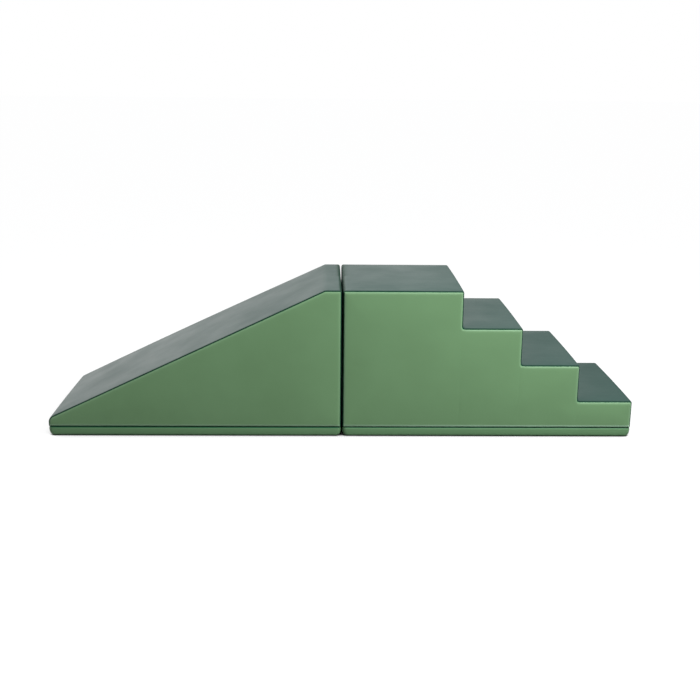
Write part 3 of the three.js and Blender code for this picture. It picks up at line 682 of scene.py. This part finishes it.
def settle(piece, edge_distance):
    count = len(piece.data.vertices)
    before = np.empty(count * 3, dtype=np.float32)
    piece.data.vertices.foreach_get("co", before)
    held = piece.vertex_groups.new(name="sewn edges")
    held.add([int(i) for i in np.flatnonzero(edge_distance < HELD_EDGE)], 1, "REPLACE")
    cloth = piece.modifiers.new("settle", "CLOTH")
    cloth.settings.quality = 5
    cloth.settings.mass = CLOTH_MASS
    cloth.settings.shrink_min = -CUT_TOO_LARGE
    cloth.settings.use_pressure = True
    cloth.settings.uniform_pressure_force = FOAM_PRESSURE
    cloth.settings.vertex_group_mass = held.name
    cloth.settings.effector_weights.gravity = 0
    cloth.collision_settings.use_collision = False
    for step in range(1, SETTLE_FRAMES + 1):
        bpy.context.scene.frame_set(step)
    settled = piece.evaluated_get(bpy.context.evaluated_depsgraph_get())
    after = np.empty(count * 3, dtype=np.float32)
    settled.data.vertices.foreach_get("co", after)
    moved = (after - before).reshape(-1, 3)
    most = float(np.sqrt((moved * moved).sum(1)).max())
    piece.modifiers.remove(cloth)
    piece.vertex_groups.remove(held)
    bpy.context.scene.frame_set(1)
    kept_share = min(1, SETTLE_MOST / max(most, 1e-9))
    piece.data.vertices.foreach_set("co", before + moved.ravel() * kept_share)
    piece.data.update()
    print(piece.name, "settled, moved by up to", round(most / MM, 1), "mm before it was scaled down")


# %% [markdown]
# ## The side panels
# A side panel is one flat cut piece, light green. It starts here as a face with only the block's few
# corners. A bevel of those corners rounds the folds and nooks, and planes then cut it into a fine
# grid, closest beside the seams, so that it can swell. The grid is cut with bisect_plane, because a
# cut runs straight through whatever shape it meets.

# %% Draw a block's side and cut it up
def side_outline(block, hem):
    corners = [(block.end, hem.height, 0), *block.corners, (SEAM_INSET, hem.height, 0)]
    bm = bmesh.new()
    made = [(bm.verts.new((x_at(block, along), 0, height)), size) for along, height, size in corners]
    bm.faces.new([vert for vert, _ in made])
    for radius in sorted({FOLD_RADIUS, NOOK_RADIUS, NOSE_REACH}):
        rounded = [vert for vert, size in made if size == radius]
        if rounded:
            bevel(bm, rounded, radius, 6, "VERTICES")
    return bm


def seam_lines(block, bm, hem):
    lines = []
    for edge in bm.edges:
        a, b = [(along_at(block, v.co.x), v.co.z) for v in edge.verts]
        if max(a[1], b[1]) > hem.height + MM:
            lines.append((a, b))
    return lines


def line_places(start, end, fine_starts, fine_ends):
    places = [start + d for start in fine_starts for d in ROLL_LINES]
    places += [end - d for end in fine_ends for d in ROLL_LINES]
    spaced = np.linspace(start, end, int(end / LINE_SPACING))
    return places + [p for p in spaced if min(abs(p - q) for q in places) > LEAST_SPACING]


def cut_side(block, bm, hem):
    ends, levels = [block.end], [HEIGHT - SEAM_INSET]
    if block is steps:
        ends = sorted({corner[0] for corner in block.corners if corner[0] > SEAM_INSET})
        levels = sorted({corner[1] for corner in block.corners})
    for along in line_places(SEAM_INSET, block.end, [SEAM_INSET], ends):
        cut(bm, (x_at(block, along), 0, 0), (1, 0, 0))
    for height in line_places(hem.height, HEIGHT - SEAM_INSET, [hem.height], levels):
        cut(bm, (0, 0, height), (0, 0, 1))
    if block is slide:
        normal = (block.side * RAMP_SLOPE, 0, 1)
        for d in ROLL_LINES:
            cut(bm, (x_at(block, LENGTH), 0, ramp_height(LENGTH, SEAM_INSET + d)), normal)


# %% [markdown]
# In the valley of a seam the fabric is painted darker, as painted shade, and on the rim beside it
# paler, as a painted highlight. These tones are stored with the points of each panel, and the coated
# fabric reads them. A back seam is seen across the top, so its painted dark line is spread wider there.

# %% Store the painted shade and highlights of the edges
# How far the painted shade reaches in seams and hems, and the painted highlight on the rims.
SIDE_PAINTED_SHADE = (0.3 * MM, 1.6 * MM)
TOP_PAINTED_SHADE = (2.8 * MM, 7.6 * MM)
BACK_EDGE_SHARE = 0.5
LIP_FADE = 1.4 * MM
LIP_REACH = 0.45
RIM_HIGHLIGHT_REACH = (4 * MM, 9 * MM)
HEM_HIGHLIGHT_REACH = (8 * MM, 11 * MM)


def store(mesh, name, values):
    layer = mesh.attributes.new(name, "FLOAT", "POINT")
    layer.data.foreach_set("value", np.asarray(values, dtype=np.float32))


def fade(distances, full, gone):
    return np.clip((gone - distances) / (gone - full), 0, 1)


def mix(a, b, share):
    return a + (b - a) * share


def store_edge_tones(mesh, seam, hem, seam_painted_shade, lip_painted_shade, pale=0, hem_painted_highlight=0, even_painted_shade=0):
    """Paints shade into the valleys of seams and hems and a highlight onto the rims. An even painted
    shade can be laid over the whole piece.
    """
    valley = np.maximum(fade(seam, *seam_painted_shade), fade(hem, lip_painted_shade, lip_painted_shade + LIP_FADE))
    rim = np.maximum(pale * fade(seam, *RIM_HIGHLIGHT_REACH), hem_painted_highlight * fade(hem, *HEM_HIGHLIGHT_REACH))
    store(mesh, "seam_shade", np.maximum(valley, even_painted_shade))
    store(mesh, "edge_pale", rim)


# %% [markdown]
# Then every point moves out or in by the swell of the face at its distance from the seams.

# %% Make the four side panels
def side_panel(block, face, hem):
    name = f"{block.name}_{'front' if face < 0 else 'back'}_side_panel"
    bm = side_outline(block, hem)
    lines = seam_lines(block, bm, hem)
    cut_side(block, bm, hem)
    points = np.array([(along_at(block, v.co.x), v.co.z) for v in bm.verts])
    along, height = points.T
    above_hem = height - hem.height
    seam = distance_to_lines(points, lines)
    rise = face_rise(seam, above_hem, hem.drop)
    inward = mitre_shift(along - SEAM_INSET, rise)
    outward = mitre_shift(block.end - along, rise)
    lift = ramp_lift(block, along, face * HALF_DEPTH, height)
    for vert, up, shift, raised in zip(bm.verts, rise, inward - outward, lift):
        vert.co.x += block.side * shift
        vert.co.y = face * (HALF_DEPTH + up)
        vert.co.z += raised
    face_away(bm, block.middle)
    panel = piece_from(bm, name + "_cover", side_fabric, block.body, [name])
    # The rims get a painted highlight, and so does the lip over the zip, changing from the gap
    # outwards; seams and the hem get painted shade.
    lip_painted_highlight = mix(*block.lip_painted_highlight, np.clip(along / LIP_REACH, 0, 1))
    store_edge_tones(panel.data, seam, above_hem, SIDE_PAINTED_SHADE, block.lip_painted_shade, block.rim_painted_highlight, lip_painted_highlight)
    settle(panel, np.minimum(seam, above_hem))
    give_thickness(panel)


for block in (steps, slide):
    side_panel(block, -1, lip_hem)
    side_panel(block, 1, open_hem)

# %% [markdown]
# ## The top run
# The dark green run is one long strip that folds down over the nose or over all the treads and risers.
# It is drawn from the same outline as the side panel, so that the two meet: the outline's edges are
# extruded across the block, cut into a grid, and moved out along their own normals. Halfway across the
# block a fold has no seam to hold it back, so the nose of each tread bows out a few millimetres there.

# %% Make the two top runs
NOOK_PULL = 0.4
RUN_SPACING = 12 * MM


def across_places():
    edge = HALF_DEPTH - SEAM_INSET
    near = [edge - d for d in ROLL_LINES]
    spaced = np.linspace(-near[-1], near[-1], int(2 * near[-1] / LINE_SPACING))[1:-1]
    return [*near, *[-n for n in near], *spaced]


def run_edges(block):
    bm = side_outline(block, lip_hem)
    drop_faces(bm)
    low = lip_hem.height + MM
    inner = half_gap + SEAM_INSET + MM
    unused = [e for e in bm.edges if all(v.co.z < low for v in e.verts)
              or all(abs(v.co.x) < inner for v in e.verts)]
    bmesh.ops.delete(bm, geom=unused, context="EDGES")
    split_edges(bm, RUN_SPACING)
    loose = [v for v in bm.verts if not v.link_edges]
    bmesh.ops.delete(bm, geom=loose, context="VERTS")
    return bm


def distance_to_corners(points, block, sizes):
    found = np.array([corner[:2] for corner in block.corners if corner[2] in sizes])
    return np.hypot(points[:, None, 0] - found[:, 0], points[:, None, 2] - found[:, 1]).min(1)


def top_run(block):
    bm = run_edges(block)
    edge = HALF_DEPTH - SEAM_INSET
    bmesh.ops.translate(bm, verts=bm.verts, vec=(0, -edge, 0))
    extruded = bmesh.ops.extrude_edge_only(bm, edges=bm.edges[:])["geom"]
    moved = [g for g in extruded if isinstance(g, bmesh.types.BMVert)]
    bmesh.ops.translate(bm, verts=moved, vec=(0, 2 * edge, 0))
    for place in across_places():
        cut(bm, (0, place, 0), (0, 1, 0))
    for d in ROLL_LINES:
        cut(bm, (0, 0, lip_hem.height + d), (0, 0, 1))
        cut(bm, (x_at(block, SEAM_INSET + d), 0, 0), (1, 0, 0))
    face_away(bm, block.middle)
    points = np.array([(along_at(block, v.co.x), v.co.y, v.co.z) for v in bm.verts])
    along, across, height = points.T
    above_hem = height - lip_hem.height
    end = np.hypot(along - SEAM_INSET, height - (HEIGHT - SEAM_INSET))
    lateral = edge - np.abs(across)
    nose = distance_to_corners(points, block, (FOLD_RADIUS, NOSE_REACH))
    corner = distance_to_corners(points, block, (FOLD_RADIUS, NOOK_RADIUS, NOSE_REACH))
    fold = np.minimum(nose, corner / NOOK_PULL)
    bow = FOLD_BOW * (1 - (across / edge) ** 2) * fade(nose, 0, BOW_REACH) ** 2
    seam = np.minimum(lateral, end)
    rise = face_rise(seam, above_hem, lip_hem.drop, fold)
    shift = mitre_shift(lateral, rise)
    rise += bow * fade(above_hem, HEM_ROLL, 0)
    lift = ramp_lift(block, along, across, height)
    for vert, up, inward, raised in zip(bm.verts, rise, shift, lift):
        vert.co += vert.normal * (SEAM_INSET + up)
        vert.co.y -= inward if vert.co.y > 0 else -inward
        vert.co.z += raised
    bm.normal_update()
    name = f"{block.name}_top_run"
    run = piece_from(bm, name + "_cover", top_fabric, block.body, [name])
    # Painted shade in the seams and at the hem; the back seam's painted shade is spread wider.
    valley = np.where(across > 0, seam * BACK_EDGE_SHARE, seam)
    store_edge_tones(run.data, valley, above_hem, TOP_PAINTED_SHADE, block.lip_painted_shade)
    settle(run, np.minimum(np.minimum(seam, above_hem), corner + FOLD_FREE))
    give_thickness(run)


for block in (steps, slide):
    top_run(block)

# %% [markdown]
# ## The inner end panels
# Where the blocks meet, each has a plain end panel. It is nearly flat, because the strips of hook and
# loop pull the two blocks together.

# %% Make the two end panels
def end_panel(block):
    edge = HALF_DEPTH - SEAM_INSET
    top = HEIGHT - SEAM_INSET
    bm = flat_face(top - lip_hem.height, 2 * edge)
    bmesh.ops.rotate(bm, cent=(0, 0, 0), matrix=Matrix.Rotation(pi / 2, 3, "Y"), verts=bm.verts)
    middle = (top + lip_hem.height) / 2
    bmesh.ops.translate(bm, vec=(x_at(block, 0), 0, middle), verts=bm.verts)
    for place in across_places():
        cut(bm, (0, place, 0), (0, 1, 0))
    for height in line_places(lip_hem.height, top, [lip_hem.height], [top]):
        cut(bm, (0, 0, height), (0, 0, 1))
    face_away(bm, block.middle)
    _, across, height = np.array([v.co for v in bm.verts]).T
    above_hem = height - lip_hem.height
    lateral = edge - np.abs(across)
    seam = np.minimum(lateral, top - height)
    rise = face_rise(seam, above_hem, lip_hem.drop, crown=END_CROWN)
    for vert, up, inward in zip(bm.verts, rise, mitre_shift(lateral, rise)):
        vert.co.x -= block.side * up
        vert.co.y -= inward if vert.co.y > 0 else -inward
    name = f"{block.name}_inner_end_panel"
    panel = piece_from(bm, name + "_cover", top_fabric, block.body, [name])
    # Painted shade in the seams and at the hem.
    store_edge_tones(panel.data, seam, above_hem, TOP_PAINTED_SHADE, block.lip_painted_shade)
    give_thickness(panel)
    print(panel.name, len(panel.data.polygons), "faces")


for block in (steps, slide):
    end_panel(block)

# %% [markdown]
# ## The seams
# Panels are sewn face to face and turned, so a seam shows as a dark valley with the two edges pressed
# together. A thin roll of the turned-in edge lies in it. It is traced along the panel's own outline,
# made a curve and given a round section.

# %% Make the seams
SEAM_CORD = 0.7 * MM
CORD_SPACING = 40 * MM


def round_cord(bm, radius, name):
    traced = place_new(name, mesh_from(bm, name))
    make_curve(traced)
    traced.data.bevel_depth = radius
    traced.data.bevel_resolution = 2
    traced.data.use_fill_caps = True
    bpy.ops.object.convert(target="MESH")
    made = traced.data.copy()
    bpy.data.objects.remove(traced)
    return made


def seam_trace(block, face):
    bm = side_outline(block, lip_hem)
    drop_faces(bm)
    low = lip_hem.height + MM
    hem_edges = [e for e in bm.edges if all(v.co.z < low for v in e.verts)]
    bmesh.ops.delete(bm, geom=hem_edges, context="EDGES")
    split_edges(bm, CORD_SPACING)
    sunk = SEAM_CORD + SEAT
    for vert in bm.verts:
        vert.co.z += ramp_lift(block, along_at(block, vert.co.x), face * HALF_DEPTH, vert.co.z)
        vert.co.y = face * (HALF_DEPTH - SEAM_DROP - sunk)
        if vert.co.z < low:
            vert.co.z += HEM_ROLL
    return bm


def side_seam(block, face):
    name = f"{block.name}_{'front' if face < 0 else 'back'}_seam"
    mesh = round_cord(seam_trace(block, face), SEAM_CORD, name)
    return finish_piece(name, mesh, thread, block.body, [])


seams = [side_seam(block, face) for block in (steps, slide) for face in (-1, 1)]
print("seams:", len(seams))

# %% [markdown]
# ## The foot of a block
# Below the zip the cover is a shallow tray: a band all the way round and a non-slip panel under it.
# The band, the zip's tapes and its coils all run round the same rounded rectangle. So each is made
# from one loop of edges, drawn down level by level and moved in to its own depth.

# %% Draw the way round a block
def foot_loop(block, cut_at=()):
    bm = flat_face(LENGTH, DEPTH)
    bmesh.ops.translate(bm, vec=(x_at(block, LENGTH / 2), 0, 0), verts=bm.verts)
    bevel(bm, bm.verts[:], PLUMB_RADIUS, 8, "VERTICES")
    drop_faces(bm)
    split_edges(bm, LINE_SPACING)
    for along in cut_at:
        cut(bm, (x_at(block, along), 0, 0), (1, 0, 0))
    return bm


def way_out(block, point):
    middle = x_at(block, LENGTH / 2)
    reach_x, reach_y = LENGTH / 2 - PLUMB_RADIUS, HALF_DEPTH - PLUMB_RADIUS
    near_x = min(max(point.x - middle, -reach_x), reach_x) + middle
    near_y = min(max(point.y, -reach_y), reach_y)
    return Vector((point.x - near_x, point.y - near_y, 0)).normalized()


def draw_ring(block, bm, profile_at):
    """Draws the loop on through the points that profile_at gives as depth and height."""
    starts = [(v, v.co.copy(), way_out(block, v.co)) for v in bm.verts]
    count = len(profile_at(starts[0][2]))
    edges = bm.edges[:]
    places = {v: (start, out, profile_at(out)) for v, start, out in starts}
    for vert, (start, out, profile) in places.items():
        vert.co = start - out * profile[0][0] + Vector((0, 0, profile[0][1]))
    for step in range(1, count):
        geometry = bmesh.ops.extrude_edge_only(bm, edges=edges)["geom"]
        new = [g for g in geometry if isinstance(g, bmesh.types.BMVert)]
        edges = [g for g in geometry if isinstance(g, bmesh.types.BMEdge)
                 and all(v in new for v in g.verts)]
        found = {tuple(round(c, 6) for c in v.co): rest for v, rest in places.items()}
        places = {v: found[tuple(round(c, 6) for c in v.co)] for v in new}
        for vert, (start, out, profile) in places.items():
            depth, height = profile[step]
            vert.co = start - out * depth + Vector((0, 0, height))
    return bm


# %% [markdown]
# The band turns in to the zip at its top, bulges a little, and rolls under the block at its foot.
# Along the back, where the slider runs, its hem stands further from the zip than elsewhere.

# %% Make the two bands
FOOT_STEPS = 6
FOOT_LIFT = 0.3 * MM
# The band gets an even painted shade all over, for the shade of the hem above it and the floor below,
# and its painted shade under the hem reaches further than on the panels.
BAND_PAINTED_SHADE = 0.27
BAND_LIP_PAINTED_SHADE = 0.6 * MM


def band_profile(block, out):
    swell = block.swell * max(block.side * out.x, 0)
    to_back = 2 * max(out.y, 0)
    top = ZIP_HEIGHT - mix(LIP_GAP, OPEN_GAP, min(to_back, 1))
    drop = mix(LIP_DROP, OPEN_DROP, max(to_back - 1, 0))
    downs = [0, *[d for d in ROLL_LINES if d < BAND_ROLL], BAND_ROLL]
    points = [(float(roll_at(d, BAND_ROLL, drop)) - swell, top - d) for d in downs]
    bulge_top = top - BAND_ROLL
    foot = mix(SIDE_FOOT_RISE, END_FOOT_RISE, abs(out.x))
    for share in (0.25, 0.5, 0.75):
        bulge = BAND_BULGE * (1 - (2 * share - 1) ** 2)
        points.append((-bulge - swell, mix(bulge_top, foot, share)))
    for n in range(FOOT_STEPS + 1):
        angle = n / FOOT_STEPS * pi / 2
        inward = FOOT_RADIUS * (1 - cos(angle)) - swell * cos(angle)
        points.append((inward, foot * (1 - sin(angle)) + FOOT_LIFT))
    return points


def base_band(block):
    bm = draw_ring(block, foot_loop(block), lambda out: band_profile(block, out))
    face_away(bm, Vector((block.middle.x, 0, ZIP_HEIGHT / 2)))
    name = f"{block.name}_base_band"
    heights = np.array([v.co.z for v in bm.verts])
    band = piece_from(bm, name + "_cover", side_fabric, block.body, [name])
    hem = ZIP_HEIGHT - LIP_GAP - heights
    no_seam = np.full(len(heights), 1.0)
    store_edge_tones(band.data, no_seam, hem, SIDE_PAINTED_SHADE, block.lip_painted_shade + BAND_LIP_PAINTED_SHADE,
                     even_painted_shade=BAND_PAINTED_SHADE)
    give_thickness(band)
    print(band.name, len(band.data.polygons), "faces")


for block in (steps, slide):
    base_band(block)

# %% [markdown]
# ## The base panels
# A plain rounded sheet of the non-slip fabric closes the tray from below.

# %% Make the two base panels
BASE_CORNER = 3.7 * MM


def base_sheet(block):
    name = f"{block.name}_base_panel"
    low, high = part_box(name)
    bm = flat_face(high.x - low.x, high.y - low.y)
    bmesh.ops.translate(bm, vec=((high.x + low.x) / 2, 0, low.z), verts=bm.verts)
    bevel(bm, bm.verts[:], BASE_CORNER, 4, "VERTICES")
    face_away(bm, block.middle)
    sheet = piece_from(bm, name + "_cover", base_fabric, block.body, [name])
    give_thickness(sheet)
    print(sheet.name, "made")


for block in (steps, slide):
    base_sheet(block)

# %% [markdown]
# ## The zips
# Each zip has two tapes and two rows of coil. The tape is a flat ribbon behind the hems.

# %% Make the tapes
TAPE_WIDTH = 11 * MM
TAPE_THICKNESS = 0.6 * MM
CHAIN_SLIT = 0.3 * MM


def zip_ribbon(block, row, way):
    heights = [ZIP_HEIGHT + way * up for up in (CHAIN_SLIT / 2, TAPE_WIDTH / 2, TAPE_WIDTH)]
    bm = draw_ring(block, foot_loop(block), lambda out: [(ZIP_DEPTH, h) for h in heights])
    face_away(bm, Vector((block.middle.x, 0, ZIP_HEIGHT)))
    name = f"{block.name}_zip_{row}_tape"
    ribbon = piece_from(bm, name + "_weave", zip_tape, block.body, [name])
    give_thickness(ribbon, TAPE_THICKNESS)
    return ribbon


ribbons = [zip_ribbon(block, row, way)
           for block in (steps, slide) for row, way in (("upper", 1), ("lower", -1))]
print("tapes:", len(ribbons))

# %% [markdown]
# A coil is one small tooth, repeated along the loop by an Array modifier and bent round it by a Curve
# modifier. The loop is open at the back, where the end stops sit.

# %% Make the coils
COIL_PITCH = 2 * MM
CHAIN_WIDTH = 6 * MM
CHAIN_THICKNESS = 2.4 * MM
TOOTH_SIZE = (1.5 * MM, CHAIN_THICKNESS, (CHAIN_WIDTH - CHAIN_SLIT) / 2)
TOOTH_EASE = 0.45 * MM
ZIP_END = 60 * MM
ZIP_BREAK = 12 * MM


def repeat_along(bm, way_bm, pitch, name):
    """Repeats the small shape along the edges of way_bm and returns the finished mesh."""
    way = place_new(name + "_way", mesh_from(way_bm, name + "_way"))
    bit = place_new(name, mesh_from(bm, name))
    make_curve(way)
    row = bit.modifiers.new("row", "ARRAY")
    row.fit_type = "FIT_CURVE"
    row.curve = way
    row.use_relative_offset = False
    row.use_constant_offset = True
    row.constant_offset_displace = (pitch, 0, 0)
    bend = bit.modifiers.new("bend", "CURVE")
    bend.object = way
    bpy.context.view_layer.update()
    made = bpy.data.meshes.new_from_object(bit.evaluated_get(bpy.context.evaluated_depsgraph_get()))
    bpy.data.objects.remove(way)
    bpy.data.objects.remove(bit)
    return made


def zip_teeth(block, row, way):
    start = LENGTH - ZIP_END
    breaks = (start, start + ZIP_BREAK)
    loop = foot_loop(block, breaks)
    gap = [e for e in loop.edges if all(v.co.y > 0 for v in e.verts)
           and breaks[0] < along_at(block, sum(v.co.x for v in e.verts) / 2) < breaks[1]]
    bmesh.ops.delete(loop, geom=gap, context="EDGES")
    bmesh.ops.delete(loop, geom=[v for v in loop.verts if not v.link_edges], context="VERTS")
    depth = ZIP_DEPTH - SEAT - CHAIN_THICKNESS / 2
    height = ZIP_HEIGHT + way * (CHAIN_SLIT / 2 + CHAIN_WIDTH / 2) / 2
    for vert in loop.verts:
        vert.co = vert.co - way_out(block, vert.co) * depth + Vector((0, 0, height))
    name = f"{block.name}_zip_{row}_coil"
    tooth = small_box(TOOTH_SIZE, TOOTH_EASE)
    mesh = repeat_along(tooth, loop, COIL_PITCH, name + "_teeth")
    made = finish_piece(name + "_teeth", mesh, zip_coil, block.body, [name])
    print(made.name, len(mesh.polygons), "faces")


for block in (steps, slide):
    zip_teeth(block, "upper", 1)
    zip_teeth(block, "lower", -1)

# %% [markdown]
# ## The slider, puller and stops
# These are small castings whose shape is right already. Each gets a merged copy with its sharp edges
# broken by a tiny bevel, because tumbled castings have no sharp edges, and the light picks that out.

# %% Round off the metal pieces
CAST_EASE = 0.18 * MM
CAST_CORNER = radians(35)
CAST_CREASE = radians(30)


def eased_copy(node, width, angle):
    bm = merged_copy(node)
    bmesh.ops.dissolve_limit(bm, angle_limit=radians(1), verts=bm.verts, edges=bm.edges)
    bevel(bm, sharp_edges(bm, angle), width, 2, "EDGES", clamp=True)
    return bm


def metal_piece(node, body):
    bm = eased_copy(node, CAST_EASE, CAST_CORNER)
    piece = piece_from(bm, node + "_casting", zip_metal, body, [node])
    piece.data.set_sharp_from_angle(angle=CAST_CREASE)
    return piece


metal_pieces = []
for block in (steps, slide):
    for part in ("slider", "puller"):
        node = f"{block.name}_zip_{part}"
        metal_pieces.append(metal_piece(node, node))
    for part in ("top_stop", "bottom_stop"):
        metal_pieces.append(metal_piece(f"{block.name}_zip_{part}", block.body))
print("metal pieces:", len(metal_pieces))

# %% [markdown]
# ## The foam
# The cores are cut from sheets of foam with a hot wire, and their edges are soft. They aren't seen
# while the covers are closed, but the model keeps them, with rounded edges and their own finish.

# %% Make the foam cores
NOSE_TRIM = 9 * MM
NOSE_LEAN = (pi / 2 - atan(RAMP_SLOPE)) / 2
FOAM_EASE = 2 * MM
FOAM_CORNER = radians(40)
SOFT_CREASE = radians(50)


def trim_nose(bm):
    """Cuts a flat off the wedge's upper front edge, under the rounded nose of the cover."""
    along, height = slide.corners[0][:2]
    outward = Vector((-cos(NOSE_LEAN), 0, sin(NOSE_LEAN)))
    corner = Vector((x_at(slide, along), 0, height))
    flat = cut(bm, corner - outward * NOSE_TRIM, outward, clear_outer=True)["geom_cut"]
    bmesh.ops.holes_fill(bm, edges=[g for g in flat if isinstance(g, bmesh.types.BMEdge)])


def foam_core(node, block):
    bm = merged_copy(node)
    if block is slide:
        trim_nose(bm)
    bevel(bm, sharp_edges(bm, FOAM_CORNER), FOAM_EASE, 2, "EDGES", clamp=True)
    core = piece_from(bm, node + "_core", foam, block.body, [node])
    core.data.set_sharp_from_angle(angle=SOFT_CREASE)
    return core


cores = [foam_core(f"steps_foam_slab_{n}", steps) for n in (1, 2, 3, 4)]
cores.append(foam_core("slide_foam_wedge", slide))
print("foam cores:", len(cores))

# %% [markdown]
# ## The hook and loop strips
# Two strips on each inner end hold the blocks together. A strip is sewn on all round, so it gets a
# line of stitches, drawn one stitch at a time along a rounded rectangle.

# %% Make the strips and their stitches
STRIP_EASE = 0.4 * MM
STRIP_CORNER = radians(60)
STITCH_SIZE = (2.8 * MM, 0.7 * MM, 0.5 * MM)
STITCH_EASE = 0.2 * MM
STITCH_PITCH = 4 * MM
STITCH_INSET = 3.5 * MM
STITCH_TURN = 3 * MM


def strip(block, place, kind, material):
    node = f"{block.name}_{place}_{kind}_strip"
    bm = eased_copy(node, STRIP_EASE, STRIP_CORNER)
    tape = piece_from(bm, node + "_tape", material, block.body, [node])
    tape.data.set_sharp_from_angle(angle=SOFT_CREASE)
    low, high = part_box(node)
    face_x = low.x if block is steps else high.x
    rim = flat_face(high.z - low.z - 2 * STITCH_INSET, high.y - low.y - 2 * STITCH_INSET)
    bevel(rim, rim.verts[:], STITCH_TURN, 3, "VERTICES")
    drop_faces(rim)
    stitch = small_box(STITCH_SIZE, STITCH_EASE)
    mesh = repeat_along(stitch, rim, STITCH_PITCH, node + "_stitches")
    mesh.transform(Matrix.Rotation(pi / 2, 4, "Y"))
    mesh.transform(Matrix.Translation((face_x, (low.y + high.y) / 2, (low.z + high.z) / 2)))
    finish_piece(node + "_stitches", mesh, thread, block.body, [])
    return tape


strips = [strip(steps, place, "loop", loop_tape) for place in ("front", "back")]
strips += [strip(slide, place, "hook", hook_tape) for place in ("front", "back")]
print("strips:", len(strips))
